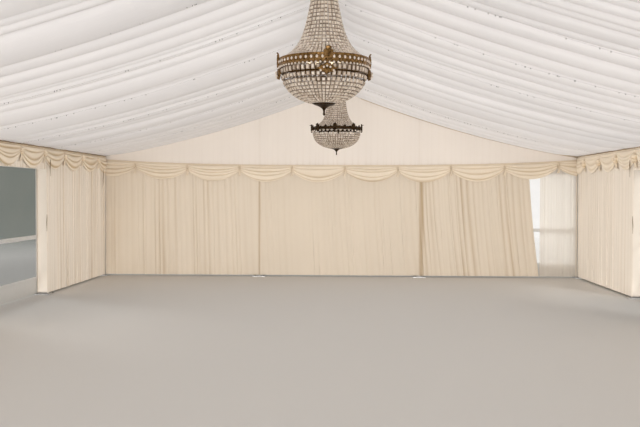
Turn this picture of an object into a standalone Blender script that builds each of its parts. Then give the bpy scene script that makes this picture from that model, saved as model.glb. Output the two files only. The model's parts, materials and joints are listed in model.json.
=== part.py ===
"""A frame marquee, nine metres wide and six bays long, with its pleated lining and three crystal chandeliers.

Metres, +Z up. The origin is on the ground under the middle of the tent. +Y runs along the ridge towards
the far gable and +X to the right of someone who looks that way.
"""

import math

import bmesh
import bpy

# Plan and heights of the frame
SPAN = 9.0  # across the tent, between the centre lines of the legs
BAY = 3.0  # along the tent, between the centre lines of the portal frames
BAYS = 6
EAVE = 2.4  # top of the roof line over the outer face of a leg
PITCH = math.radians(16.5)
FIT = 0.0003  # between pieces that touch

# Aluminium sections
LEG_DEEP = 0.112  # across the tent, and the depth of the rafters
LEG_WIDE = 0.064  # along the tent
POST_WIDE = 0.06  # a gable post, across the tent
POST_AT = 1.5  # from the middle of the gable to a gable post
RAIL_THICK = 0.044
RAIL_DEEP = 0.1
RAIL_DROP = 0.02  # eave rail's top below the roof line over the leg
RIDGE_WIDE = 0.06
RIDGE_DEEP = 0.1
PLATE = 0.24  # side of a square base plate
PLATE_THICK = 0.012

# Coated fabric outside
SHEET = 0.006
HEM = 0.015  # from the ground to the bottom of a wall
VALANCE = 0.26  # drop of the roof's edge over the walls
VALANCE_STAND_OFF = 0.009  # from the wall to the valance
VERGE = 0.012  # how far the roof runs past a gable wall
WALL_TOP_BELOW = 0.03  # side wall's top below the roof line over the leg

# Clear windows and the doorway
WINDOW_MARGIN = 0.048  # from a leg or a post to a window's opening
WINDOW_SILL = 0.25
WINDOW_DROP = 0.44  # from the roof line over the leg to a window's head
WINDOW_BAYS = (2, 5)  # counted from the near gable
PANE = 0.004
PANE_LAP = 0.02
BAR_TOP = 0.92  # cross bar of a window
BAR_DEEP = 0.06
BAR_THICK = 0.012
DOOR_WIDE = 2.4
DOOR_DROP = 0.35  # from the roof line over the leg to the doorway's head

# Linings
ROOF_LINING = 0.008
WALL_LINING = 0.02
LINING_DROP = 0.13  # from the roof line over the leg to the lining's edge
LINING_SAG = 0.135
LINING_PARTING = 0.012  # from the middle of the ridge to the edge of a roof lining
LINING_STEPS = 14
LINING_HEM = 0.03
OPEN_BAY_BELOW = 0.095  # from where two swags meet to the top of the space where the lining is drawn back
OPEN_BAY_EDGE = 0.06  # lining that stays beside a leg
TIE_HEIGHT = 1.15
TIE_WIDE = 0.16  # drawn curtain at its tie
TIE_TOP_WIDE = 0.55
TIE_FOOT_WIDE = 0.3
TIE_THICK = 0.07  # gathered folds of a drawn curtain
TIE_INSET = 0.004  # folds kept inside the edge of their lining
PARTED_AT = 3.74  # right edge of the parting in the far gable's lining, from the middle
PARTED_WIDE = 0.21  # at its top
PARTED_FOOT = 0.01

# Swagged pelmets
PELMET = 0.04
PELMET_BELOW_LINING = 0.007
GABLE_PELMET_DROP = 0.055  # gable pelmets' top below the side ones
PELMET_HEADING = 0.13  # depth where two swags meet
PELMET_BELLY = 0.2  # how much lower the middle of a swag hangs
SIDE_SWAG = 0.89  # between two places where swags meet
SIDE_SWAG_SHIFT = 0.43  # from the middle of the tent to such a place
GABLE_SWAG = 0.99
GABLE_SWAG_SHIFT = 0.11
SWAG_STEPS = 8

# Chandeliers: a flared tent of strands, a ring and a bowl
ROD_RADIUS = 0.006
CROWN_RADIUS = 0.085
CROWN_THICK = 0.03
FLARE_RISE = 0.094  # how quickly the strands turn in above the ring
BOWL_POWER = 2.4
BOWL_STEPS = 10
STRAND_STEPS = 9
STEM_RADIUS = 0.009
STEM_TOP = 0.022
SIDES = 24
RING_THICK = 0.016
RING_DEEP = 0.075
CENTRE_LAMP = {
    "ring_radius": 0.362,
    "hang": 0.894,  # from the ridge rail to the top of the ring
    "flare": 0.158,  # how far the strands turn in just above the ring
    "taper": 0.173,  # and for each metre after that
    "tent": 0.582,  # from the ring to the crown
    "bowl": 0.284,
    "stem": 0.091,  # from the bowl to the tip
}
END_LAMP = {
    "ring_radius": 0.373,
    "hang": 0.968,
    "flare": 0.189,
    "taper": 0.078,
    "tent": 0.596,
    "bowl": 0.244,
    "stem": 0.096,
}

SLOPE = math.tan(PITCH)
HALF = SPAN / 2
LENGTH = BAY * BAYS
LEG_OUT = HALF + LEG_DEEP / 2
LEG_IN = HALF - LEG_DEEP / 2
END_FACE = LENGTH / 2 + LEG_WIDE / 2  # outer face of an end frame
END_INSIDE = LENGTH / 2 - LEG_WIDE / 2
RAIL_OUT = LEG_OUT + FIT + RAIL_THICK
WALL_IN = RAIL_OUT + FIT
WALL_OUT = WALL_IN + SHEET
GABLE_IN = END_FACE + FIT
GABLE_OUT = GABLE_IN + SHEET
PORTALS = [BAY * k - LENGTH / 2 for k in range(BAYS + 1)]


def roof_line(x):
    """Height of the rafters' top over a place across the tent."""
    return EAVE + (LEG_OUT - abs(x)) * SLOPE


def rafter_under(x):
    """Height of the rafters' underside."""
    return roof_line(x) - LEG_DEEP / math.cos(PITCH)


RIDGE_UNDER = rafter_under(0) - FIT - RIDGE_DEEP
LINING_RIDGE = RIDGE_UNDER - FIT
WINDOW_HEAD = EAVE - WINDOW_DROP
DOOR_HEAD = EAVE - DOOR_DROP
LINING_EAVE = EAVE - LINING_DROP
LINING_REACH = LEG_IN - FIT
LINING_INSIDE = LINING_REACH - WALL_LINING
GABLE_LINING_OUT = END_INSIDE - FIT
GABLE_LINING_IN = GABLE_LINING_OUT - WALL_LINING
PELMET_TOP = LINING_EAVE - ROOF_LINING - PELMET_BELOW_LINING
OPEN_BAY_HEAD = PELMET_TOP - PELMET_HEADING - OPEN_BAY_BELOW
GABLE_PELMET_TOP = PELMET_TOP - GABLE_PELMET_DROP
PELMET_EDGE = PELMET_TOP - PELMET_HEADING - PELMET_BELLY  # lowest line of a side pelmet
LINING_SEAM = GABLE_PELMET_TOP - PELMET_HEADING / 2  # between a gable's upper and lower lining


def lining_height(x):
    """Top of the roof lining: a straight line from eave to ridge, less a parabola that is its sag."""
    up = 1 - abs(x) / LINING_REACH
    straight = LINING_EAVE + (LINING_RIDGE - LINING_EAVE) * up
    return straight - 4 * LINING_SAG * up * (1 - up)


def clear_scene():
    for piece in list(bpy.data.objects):
        bpy.data.objects.remove(piece, do_unlink=True)


def finish(name, colour, roughness, metallic=0.0):
    """A Principled material."""
    material = bpy.data.materials.new(name)
    material.use_nodes = True
    shader = material.node_tree.nodes["Principled BSDF"]
    shader.inputs["Base Color"].default_value = (*colour, 1.0)
    shader.inputs["Roughness"].default_value = roughness
    shader.inputs["Metallic"].default_value = metallic
    return material


def add_piece(name, shape, material):
    """Puts a bmesh into the scene as a named object."""
    bmesh.ops.recalc_face_normals(shape, faces=shape.faces)
    mesh = bpy.data.meshes.new(name)
    shape.to_mesh(mesh)
    shape.free()
    piece = bpy.data.objects.new(name, mesh)
    bpy.context.scene.collection.objects.link(piece)
    if material:
        mesh.materials.append(material)
    return piece


def prism(outline, along, start, end):
    """A bmesh prism. The outline's points are (x, z) for a prism along Y and (y, z) for one along X."""
    shape = bmesh.new()
    if along == "Y":
        points = [(a, start, z) for a, z in outline]
        way = (0, end - start, 0)
    else:
        points = [(start, a, z) for a, z in outline]
        way = (end - start, 0, 0)
    face = shape.faces.new([shape.verts.new(p) for p in points])
    grown = bmesh.ops.extrude_face_region(shape, geom=[face])
    moved = [v for v in grown["geom"] if isinstance(v, bmesh.types.BMVert)]
    bmesh.ops.translate(shape, verts=moved, vec=way)
    return shape


def block(low, high):
    """A bmesh box between two corners."""
    outline = [(low[0], low[2]), (high[0], low[2]), (high[0], high[2]), (low[0], high[2])]
    return prism(outline, "Y", low[1], high[1])


def cut_or_join(piece, tool, operation):
    """Adds a live Boolean with a hidden tool."""
    tool.hide_render = True
    tool.display_type = "WIRE"
    change = piece.modifiers.new(tool.name, "BOOLEAN")
    change.operation = operation
    change.object = tool


def mirrored(outline):
    """The outline on the other side of the middle."""
    return [(-a, z) for a, z in outline]


def portal_frames(metal):
    """Two legs and two rafters of one section, with a base plate under each leg."""
    right = [(LEG_OUT, PLATE_THICK / 2), (LEG_OUT, EAVE), (0, roof_line(0))]
    left = [(-LEG_OUT, EAVE), (-LEG_OUT, PLATE_THICK / 2), (-LEG_IN, PLATE_THICK / 2)]
    under = [(-LEG_IN, rafter_under(LEG_IN)), (0, rafter_under(0)), (LEG_IN, rafter_under(LEG_IN))]
    outline = right + left + under + [(LEG_IN, PLATE_THICK / 2)]
    for number, y in enumerate(PORTALS, 1):
        shape = prism(outline, "Y", y - LEG_WIDE / 2, y + LEG_WIDE / 2)
        frame = add_piece(f"portal_frame_{number}", shape, metal)
        for side in (-1, 1):
            plate = base_plate(f"portal_plate_{number}_{side}", side * HALF, y)
            cut_or_join(frame, plate, "UNION")


def base_plate(name, x, y):
    low = (x - PLATE / 2, y - PLATE / 2, 0)
    return add_piece(name, block(low, (x + PLATE / 2, y + PLATE / 2, PLATE_THICK)), None)


def gable_posts(metal):
    """Uprights that carry the middle of each gable wall."""
    top = rafter_under(POST_AT + POST_WIDE / 2) - FIT
    for end, y in (("near", -LENGTH / 2), ("far", LENGTH / 2)):
        for side, sign in (("left", -1), ("right", 1)):
            x = sign * POST_AT
            low = (x - POST_WIDE / 2, y - LEG_WIDE / 2, PLATE_THICK / 2)
            shape = block(low, (x + POST_WIDE / 2, y + LEG_WIDE / 2, top))
            post = add_piece(f"gable_post_{end}_{side}", shape, metal)
            cut_or_join(post, base_plate(f"post_plate_{end}_{side}", x, y), "UNION")


def rails(metal):
    """Eave rails outside the legs, and the ridge rail under the rafters."""
    for side, sign in (("left", -1), ("right", 1)):
        inner, outer = sorted((sign * (LEG_OUT + FIT), sign * RAIL_OUT))
        top = EAVE - RAIL_DROP
        shape = block((inner, -END_FACE, top - RAIL_DEEP), (outer, END_FACE, top))
        add_piece(f"eave_rail_{side}", shape, metal)
    edge = RIDGE_WIDE / 2
    outline = [(-edge, RIDGE_UNDER), (edge, RIDGE_UNDER), (edge, rafter_under(edge) - FIT)]
    outline += [(0, rafter_under(0) - FIT), (-edge, rafter_under(edge) - FIT)]
    add_piece("ridge_rail", prism(outline, "Y", -END_FACE, END_FACE), metal)


def roof_cover(fabric):
    """One section to a bay, from valance to valance over the ridge."""
    inner = WALL_OUT + VALANCE_STAND_OFF
    outer = inner + SHEET
    lift = FIT / math.cos(PITCH)
    thick = SHEET / math.cos(PITCH)
    foot = roof_line(inner) - VALANCE
    upper = [(outer, foot), (outer, roof_line(outer) + lift + thick), (0, roof_line(0) + lift + thick)]
    lower = [(0, roof_line(0) + lift), (inner, roof_line(inner) + lift), (inner, foot)]
    outline = upper + mirrored(upper[:2])[::-1] + mirrored(lower[1:])[::-1] + lower
    for number in range(1, BAYS + 1):
        start = PORTALS[number - 1] + FIT / 2
        end = PORTALS[number] - FIT / 2
        if number == 1:
            start = -GABLE_OUT - VERGE
        if number == BAYS:
            end = GABLE_OUT + VERGE
        add_piece(f"roof_section_{number}", prism(outline, "Y", start, end), fabric)


def window(name, wall, clear, start, end, place):
    """Cuts a window from start to end along a wall, and adds its clear sheet with a welded cross bar.
    The sheet laps the wall's inner face. place(a, out, z) turns a point along, out from and up the
    wall into the tent's frame."""

    def corners(low, high):
        a, b = place(*low), place(*high)
        return block([min(p) for p in zip(a, b)], [max(p) for p in zip(a, b)])

    cut = corners((start, -SHEET, WINDOW_SILL), (end, 2 * SHEET, WINDOW_HEAD))
    cut_or_join(wall, add_piece(f"cut_{name}", cut, None), "DIFFERENCE")
    left, right = start - PANE_LAP, end + PANE_LAP
    sheet = corners((left, -FIT - PANE, WINDOW_SILL - PANE_LAP), (right, -FIT, WINDOW_HEAD + PANE_LAP))
    bar = corners((left, -FIT - BAR_THICK, BAR_TOP - BAR_DEEP), (right, -FIT - PANE / 2, BAR_TOP))
    cut_or_join(add_piece(name, sheet, clear), add_piece(f"{name}_bar", bar, None), "UNION")


def side_walls(fabric, clear):
    """A hung wall on each side, with a clear window in every window bay."""
    for side, sign in (("left", -1), ("right", 1)):
        inner, outer = sorted((sign * WALL_IN, sign * WALL_OUT))
        low, high = (inner, -GABLE_OUT, HEM), (outer, GABLE_OUT, EAVE - WALL_TOP_BELOW)
        wall = add_piece(f"side_wall_{side}", block(low, high), fabric)
        for bay in WINDOW_BAYS:
            margin = LEG_WIDE / 2 + WINDOW_MARGIN
            start, end = PORTALS[bay - 1] + margin, PORTALS[bay] - margin

            def place(a, out, z, sign=sign):
                return (sign * (WALL_IN + out), a, z)

            window(f"window_{side}_{bay}", wall, clear, start, end, place)


def gable_walls(fabric, clear):
    """A whole gable at each end, with a window beside each post and a doorway in the near one."""
    edge = WALL_IN - FIT
    top = [(edge, roof_line(edge) - FIT), (0, roof_line(0) - FIT), (-edge, roof_line(edge) - FIT)]
    outline = [(-edge, HEM), (edge, HEM)] + top
    start, end = POST_AT + POST_WIDE / 2 + WINDOW_MARGIN, LEG_IN - WINDOW_MARGIN
    for name, sign in (("near", -1), ("far", 1)):
        inner, outer = sorted((sign * GABLE_IN, sign * GABLE_OUT))
        wall = add_piece(f"gable_wall_{name}", prism(outline, "Y", inner, outer), fabric)
        for side, way in (("left", -1), ("right", 1)):

            def place(a, out, z, way=way, sign=sign):
                return (way * a, sign * (GABLE_IN + out), z)

            window(f"window_{name}_{side}", wall, clear, start, end, place)

    doorway = block((-DOOR_WIDE / 2, -GABLE_OUT - SHEET, -HEM), (DOOR_WIDE / 2, -GABLE_IN + SHEET, DOOR_HEAD))
    cut_or_join(bpy.data.objects["gable_wall_near"], add_piece("cut_doorway", doorway, None), "DIFFERENCE")


def roof_linings(fabric):
    """A sagging lining under each slope, hung from the ridge rail and from the legs."""
    span = LINING_REACH - LINING_PARTING
    across = [LINING_PARTING + span * k / LINING_STEPS for k in range(LINING_STEPS + 1)]
    outline = [(x, lining_height(x)) for x in across]
    outline += [(x, lining_height(x) - ROOF_LINING) for x in reversed(across)]
    for side, points in (("left", mirrored(outline)), ("right", outline)):
        shape = prism(points, "Y", -GABLE_LINING_OUT, GABLE_LINING_OUT)
        add_piece(f"roof_lining_{side}", shape, fabric)


def drawn_bay(start, end, inward):
    """Lower edge of a wall lining over a bay where it is drawn back and tied on one side, and the
    outline of the gathered folds there. inward is 1 where the tied curtain is at the start of the
    bay, and -1 at its end."""
    tied, plain = (start, end) if inward > 0 else (end, start)
    points = [
        (tied + inward * TIE_FOOT_WIDE, LINING_HEM),
        (tied + inward * TIE_WIDE, TIE_HEIGHT),
        (tied + inward * TIE_TOP_WIDE, OPEN_BAY_HEAD),
        (plain - inward * OPEN_BAY_EDGE, OPEN_BAY_HEAD),
        (plain - inward * OPEN_BAY_EDGE, LINING_HEM),
    ]
    high = PELMET_EDGE - TIE_INSET
    share = (high - TIE_HEIGHT) / (OPEN_BAY_HEAD - TIE_HEIGHT)
    widths = [
        (TIE_FOOT_WIDE, LINING_HEM + TIE_INSET),
        (TIE_WIDE, TIE_HEIGHT),
        (TIE_WIDE + (TIE_TOP_WIDE - TIE_WIDE) * share, high),
    ]
    folds = [(tied + inward * (wide - TIE_INSET), z) for wide, z in widths]
    folds += [(tied + inward * TIE_INSET, high), (tied + inward * TIE_INSET, LINING_HEM + TIE_INSET)]
    return points if inward > 0 else points[::-1], folds


def side_linings(fabric):
    """Wall linings from gable to gable, drawn back in front of the windows."""
    top = LINING_EAVE - ROOF_LINING - FIT
    lower = [(-GABLE_LINING_OUT, LINING_HEM)]
    gathered = []
    for bay in WINDOW_BAYS:
        start, end = PORTALS[bay - 1], PORTALS[bay]
        points, folds = drawn_bay(start, end, 1 if start + end > 0 else -1)
        lower += points
        gathered.append(folds)
    lower.append((GABLE_LINING_OUT, LINING_HEM))
    outline = lower + [(GABLE_LINING_OUT, top), (-GABLE_LINING_OUT, top)]
    for side, sign in (("left", -1), ("right", 1)):
        start, stop = sorted((sign * LINING_INSIDE, sign * LINING_REACH))
        lining = add_piece(f"wall_lining_{side}", prism(outline, "X", start, stop), fabric)
        near, away = sorted((sign * (LINING_REACH - TIE_THICK), sign * (LINING_REACH - TIE_INSET)))
        for number, folds in enumerate(gathered):
            tool = add_piece(f"folds_{side}_{number}", prism(folds, "X", near, away), None)
            cut_or_join(lining, tool, "UNION")


def gable_linings(fabric):
    """A lower lining and an upper one in each gable. The near one opens at the doorway."""
    edge = LINING_INSIDE - FIT
    steps = 2 * LINING_STEPS
    across = [edge - 2 * edge * k / steps for k in range(steps + 1)]
    upper = [(x, lining_height(x) - ROOF_LINING - FIT) for x in across]
    upper = [(-edge, LINING_SEAM), (edge, LINING_SEAM)] + upper
    head = OPEN_BAY_HEAD
    parted = [(PARTED_AT - PARTED_FOOT, LINING_HEM), (PARTED_AT - PARTED_WIDE, head), (PARTED_AT, head)]
    parted.append((PARTED_AT, LINING_HEM))
    half = DOOR_WIDE / 2
    doorway = [(-half, LINING_HEM), (-half, head), (half, head), (half, LINING_HEM)]
    for end, sign, gap in (("near", -1, doorway), ("far", 1, parted)):
        start, stop = sorted((sign * GABLE_LINING_IN, sign * GABLE_LINING_OUT))
        lower = [(-edge, LINING_HEM)] + gap + [(edge, LINING_HEM)]
        lower += [(edge, LINING_SEAM - FIT), (-edge, LINING_SEAM - FIT)]
        add_piece(f"gable_lining_{end}", prism(upper, "Y", start, stop), fabric)
        add_piece(f"wall_lining_{end}", prism(lower, "Y", start, stop), fabric)


def swags(low, high, pitch, shift, top):
    """Outline of a pelmet. Between two meeting points its edge hangs in a parabola."""

    def edge(a):
        along = ((a - shift) / pitch) % 1.0
        return top - PELMET_HEADING - PELMET_BELLY * 4 * along * (1 - along)

    step = pitch / SWAG_STEPS
    first = math.ceil((low - shift) / step + 0.1)
    last = math.floor((high - shift) / step - 0.1)
    places = [low] + [shift + step * k for k in range(first, last + 1)] + [high]
    return [(a, edge(a)) for a in places] + [(high, top), (low, top)]


def pelmets(fabric):
    """Swagged pelmets in front of the wall linings, all the way round."""
    face = LINING_INSIDE - FIT
    end = GABLE_LINING_IN - FIT
    reach = end - PELMET - FIT
    side_outline = swags(-reach, reach, SIDE_SWAG, SIDE_SWAG_SHIFT, PELMET_TOP)
    gable_outline = swags(-face, face, GABLE_SWAG, GABLE_SWAG_SHIFT, GABLE_PELMET_TOP)
    for name, sign in (("left", -1), ("right", 1)):
        start, stop = sorted((sign * (face - PELMET), sign * face))
        add_piece(f"pelmet_{name}", prism(side_outline, "X", start, stop), fabric)
    for name, sign in (("near", -1), ("far", 1)):
        start, stop = sorted((sign * (end - PELMET), sign * end))
        add_piece(f"pelmet_{name}", prism(gable_outline, "Y", start, stop), fabric)


def turned(name, profile, y, material):
    """A solid of revolution about the hanging rod's line. The profile's points are (radius, z)."""
    shape = bmesh.new()
    verts = [shape.verts.new((r, y, z)) for r, z in profile]
    edges = [shape.edges.new(pair) for pair in zip(verts, verts[1:])]
    bmesh.ops.spin(
        shape,
        geom=verts + edges,
        cent=(0, y, 0),
        axis=(0, 0, 1),
        angle=2 * math.pi,
        steps=SIDES,
        use_merge=True,
        use_duplicate=False,
    )
    bmesh.ops.remove_doubles(shape, verts=shape.verts, dist=1e-6)
    piece = add_piece(name, shape, material)
    piece.data.shade_smooth()
    piece.data.set_sharp_from_angle(angle=math.radians(40))
    return piece


def chandelier(name, y, lamp, crystal, brass):
    """Strands from a crown to the ring, the ring, and the bowl under it with its tip."""
    ring = lamp["ring_radius"]
    inside = ring - RING_THICK - FIT
    high = RIDGE_UNDER - lamp["hang"]
    low = high - RING_DEEP
    meet = (high + low) / 2
    strands = [(0, meet + FIT / 2), (inside, meet + FIT / 2), (inside, high)]
    for k in range(1, STRAND_STEPS + 1):
        h = lamp["tent"] * (k / STRAND_STEPS) ** 2
        turned_in = lamp["flare"] * (1 - math.exp(-h / FLARE_RISE)) + lamp["taper"] * h
        strands.append((max(inside - turned_in, CROWN_RADIUS), high + h))
    top = high + lamp["tent"] + CROWN_THICK
    strands += [(CROWN_RADIUS, top), (ROD_RADIUS, top), (ROD_RADIUS, RIDGE_UNDER - FIT), (0, RIDGE_UNDER - FIT)]
    turned(f"{name}_strands", strands, y, crystal)

    band = [(ring - RING_THICK, low), (ring, low), (ring, high), (ring - RING_THICK, high)]
    turned(f"{name}_ring", band + band[:1], y, brass)

    bowl = [(0, meet - FIT / 2), (inside, meet - FIT / 2), (inside, low)]
    for k in range(1, BOWL_STEPS):
        t = math.sin(math.pi / 2 * k / BOWL_STEPS)
        bowl.append((inside * math.sqrt(1 - t**BOWL_POWER), low - lamp["bowl"] * t))
    foot = low - lamp["bowl"]
    tip = foot - lamp["stem"]
    bowl += [(STEM_TOP, foot - STEM_TOP), (STEM_RADIUS, foot - 2 * STEM_TOP)]
    bowl += [(STEM_RADIUS, tip + STEM_RADIUS), (0, tip)]
    turned(f"{name}_bowl", bowl, y, crystal)


def build():
    clear_scene()
    metal = finish("mill_aluminium", (0.62, 0.63, 0.64), 0.38, 1.0)
    coated = finish("white_coated_fabric", (0.86, 0.86, 0.85), 0.45)
    clear = finish("clear_sheet", (0.72, 0.76, 0.74), 0.1)
    ivory = finish("ivory_lining", (0.8, 0.74, 0.65), 0.8)
    white = finish("white_lining", (0.86, 0.84, 0.83), 0.8)
    swag_cloth = finish("cream_swag", (0.76, 0.67, 0.54), 0.75)
    crystal = finish("crystal", (0.75, 0.72, 0.67), 0.08)
    brass = finish("aged_brass", (0.42, 0.28, 0.12), 0.3, 1.0)

    portal_frames(metal)
    gable_posts(metal)
    rails(metal)
    roof_cover(coated)
    side_walls(coated, clear)
    gable_walls(coated, clear)
    roof_linings(white)
    side_linings(ivory)
    gable_linings(ivory)
    pelmets(swag_cloth)
    for name, bays, lamp in (("near", -2, END_LAMP), ("centre", 0, CENTRE_LAMP), ("far", 2, END_LAMP)):
        chandelier(f"chandelier_{name}", bays * BAY, lamp, crystal, brass)


build()
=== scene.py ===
"""Looks of the frame marquee: its linings, swags, chandeliers, cover and windows, with the light and the camera.

Metres, +Z up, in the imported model's own frame. The origin is on the ground under the middle of the tent,
+Y runs along the ridge towards the far gable and +X is to the right of someone who looks that way.
"""

import json
import math
from collections import namedtuple

import bpy
import numpy as np
from mathutils import Matrix, Vector
from numpy import clip, concatenate, cos, exp, linspace, pi, sin, stack

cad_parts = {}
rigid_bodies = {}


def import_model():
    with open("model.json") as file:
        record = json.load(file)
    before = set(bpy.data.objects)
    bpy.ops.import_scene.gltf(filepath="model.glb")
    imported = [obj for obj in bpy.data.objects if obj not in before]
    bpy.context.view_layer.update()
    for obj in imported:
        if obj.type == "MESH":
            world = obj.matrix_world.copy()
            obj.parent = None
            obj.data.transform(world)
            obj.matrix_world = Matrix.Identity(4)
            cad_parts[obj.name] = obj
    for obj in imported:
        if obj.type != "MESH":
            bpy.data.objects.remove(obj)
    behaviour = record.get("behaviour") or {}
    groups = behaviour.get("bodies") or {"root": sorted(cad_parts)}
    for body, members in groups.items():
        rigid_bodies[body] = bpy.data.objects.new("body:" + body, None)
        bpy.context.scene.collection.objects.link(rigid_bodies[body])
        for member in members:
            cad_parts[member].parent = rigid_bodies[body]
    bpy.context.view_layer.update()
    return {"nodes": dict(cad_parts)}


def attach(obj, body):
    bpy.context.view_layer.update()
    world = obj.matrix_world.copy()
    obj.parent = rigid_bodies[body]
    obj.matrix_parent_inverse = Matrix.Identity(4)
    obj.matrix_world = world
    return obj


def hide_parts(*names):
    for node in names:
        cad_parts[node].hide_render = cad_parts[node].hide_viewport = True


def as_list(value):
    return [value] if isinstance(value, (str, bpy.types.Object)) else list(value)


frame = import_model()

# Places that the part's source gives
PITCH = math.radians(16.5)
SLOPE = math.tan(PITCH)
EAVE = 2.4
FIT = 0.0003
LEG_OUT, LEG_MIDDLE, POST_AT = 4.556, 4.5, 1.5
HALF_LENGTH, BAY, BAYS = 9.0, 3.0, 6
PORTALS = np.arange(-HALF_LENGTH, HALF_LENGTH + 0.1, BAY)
FRAMES = [f"portal_frame_{number}" for number in range(1, BAYS + 2)]
SHEET = 0.006
WALL_MIDDLE, WALL_EDGE = 4.6036, 4.6003  # middle of a side wall's thickness, and half a gable wall's width
GABLE_MIDDLE, GABLE_INNER = 9.0353, 9.0323
VALANCE_AT, VALANCE_FOOT = 4.6186, 2.1224
COVER_END = 9.0503
HEM, WALL_TOP = 0.015, 2.37
SILL, WINDOW_HEAD = 0.25, 1.96
SIDE_WINDOWS = ((-5.92, -3.08), (3.08, 5.92))
GABLE_WINDOW = (1.578, 4.396)
PANE_LAP = 0.02
PANE_AT = 0.0023  # middle of a clear sheet, in from its wall's inner face
BAR_LOW, BAR_HIGH = 0.86, 0.92  # the band across a window
BORDER, BORDER_DEEP, BAR_DEEP = 0.03, 0.0055, 0.008  # how far a window's border covers it, and how deep its bands are
DOOR_HALF, DOOR_HEAD = 1.2, 2.05
RIDGE_UNDER = 3.532438
LINING_REACH, LINING_EAVE, LINING_RIDGE = 4.4437, 2.27, 3.5321
LINING_SAG, LINING_PARTING, ROOF_LINING = 0.135, 0.012, 0.008
GABLE_LINING_OUT = 8.9677
LINING_EDGE = 4.4234  # half the width of a gable lining
LINING_HEM, LINING_SEAM, OPEN_HEAD = 0.03, 2.135, 2.03
PELMET_BACK = 0.0203  # from the outside of a wall lining to the back of its pelmet
PELMET_TOP, GABLE_PELMET_TOP, PELMET_END = 2.255, 2.2, 8.907
FAR_SAG = 0.1
SWAG_HEADING, SWAG_BELLY = 0.13, 0.2
SIDE_SWAG, SIDE_SWAG_SHIFT = 0.89, 0.43
GABLE_SWAG, GABLE_SWAG_SHIFT = 0.99, 0.11
SIDES, ENDS = (("left", -1), ("right", 1)), (("near", -1), ("far", 1))


def roof_line(x):
    """Height of the rafters' top: the eave plus the slope times the distance in from the leg's outer face."""
    return EAVE + (LEG_OUT - np.abs(x)) * SLOPE


def lining_under(x):
    """Underside of the roof lining: a straight line from eave to ridge, less a parabola, less the thickness."""
    up = 1 - np.abs(x) / LINING_REACH
    return LINING_EAVE + (LINING_RIDGE - LINING_EAVE) * up - 4 * LINING_SAG * up * (1 - up) - ROOF_LINING


def far_sag(x, sag=FAR_SAG):
    """How much lower the far pelmet hangs at a place across the tent: a cubic that is nothing at the corners."""
    return sag * (1 - np.minimum(np.abs(x) / LINING_EDGE, 1) ** 3)


def bump(x, middle, wide, power=2):
    """A smooth bump of height 1 about a middle: an exponential of minus a power of the distance over its width."""
    return exp(-(((x - middle) / wide) ** power))


# ---------------------------------------------------------------- meshes


def add_piece(name, points, faces, finish, replaced=(), uv=None, tone=None, layers=None, soft=True):
    """Adds a mesh from points (n, 3) and a list of arrays of face corners. Its finish is a material and a
    slot name, which is not used. uv and layers are per point and tone is per face."""
    corners = concatenate([some.ravel() for some in faces]).astype(np.int32)
    sizes = concatenate([np.full(len(some), some.shape[1]) for some in faces])
    mesh = bpy.data.meshes.new(name)
    mesh.vertices.add(len(points))
    mesh.vertices.foreach_set("co", points.astype(np.float32).ravel())
    mesh.loops.add(len(corners))
    mesh.loops.foreach_set("vertex_index", corners)
    mesh.polygons.add(len(sizes))
    mesh.polygons.foreach_set("loop_start", (np.cumsum(sizes) - sizes).astype(np.int32))
    mesh.polygons.foreach_set("use_smooth", np.full(len(sizes), soft))
    mesh.update(calc_edges=True)
    if uv is not None:
        cut = uv.reshape(-1, 2)[corners].astype(np.float32)
        mesh.uv_layers.new(name="cloth").data.foreach_set("uv", cut.ravel())
    # 'layers' is painted shade in the cloth's folds, and 'tone' is painted light and shade on the crystal's facets
    for label, place, values in (("tone", "FACE", tone), ("layers", "POINT", layers)):
        if values is not None:
            layer = mesh.attributes.new(label, "FLOAT", place)
            layer.data.foreach_set("value", values.astype(np.float32).ravel())
    mesh.materials.append(finish[0])
    piece = bpy.data.objects.new(name, mesh)
    bpy.context.scene.collection.objects.link(piece)
    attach(piece, "root")
    if replaced:
        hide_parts(*replaced)
    return piece


def grid_quads(rows, columns, closed=False, keep=None):
    """Quads between neighbours of a grid of points. closed joins the last column to the first."""
    index = np.arange(rows * columns).reshape(rows, columns)
    if closed:
        index = concatenate([index, index[:, :1]], axis=1)
    quads = stack([index[:-1, :-1], index[1:, :-1], index[1:, 1:], index[:-1, 1:]], axis=-1)
    return (quads if keep is None else quads[keep]).reshape(-1, 4)


def quad_normals(points, quads):
    """Half the cross product of each quad's diagonals, whose length is its area."""
    a, b, c, d = (points[quads[:, k]] for k in range(4))
    return np.cross(c - a, d - b) / 2


def running_length(points, axis):
    """Mean running length of a grid's rows (axis 1) or columns (axis 0)."""
    steps = np.linalg.norm(np.diff(points, axis=axis), axis=2).mean(axis=1 - axis)
    return concatenate([[0.0], np.cumsum(steps)])


def facing(points, towards, keep=None):
    """A grid's points in one list, and its quads, turned over where they look away from a direction."""
    flat, quads = points.reshape(-1, 3), grid_quads(*points.shape[:2], keep=keep)
    away = quad_normals(flat, quads).sum(axis=0) @ np.array(towards, dtype=float) < 0
    return flat, quads[:, ::-1] if away else quads


def strip(name, points, finish, towards, replaced=(), keep=None, layers=None):
    """Adds a sheet, or a band that is sewn or welded to one, from a grid of points (rows, columns, 3). Its
    faces look towards the given direction. layers is painted shade for the cloth's folds, from 0 to 1."""
    uv = stack(np.meshgrid(running_length(points, 1), running_length(points, 0)), axis=-1)
    if layers is not None:
        layers = np.broadcast_to(layers, points.shape[:2])
    flat, quads = facing(points, towards, keep)
    return add_piece(name, flat, [quads], finish, replaced, uv, layers=layers)


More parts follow.
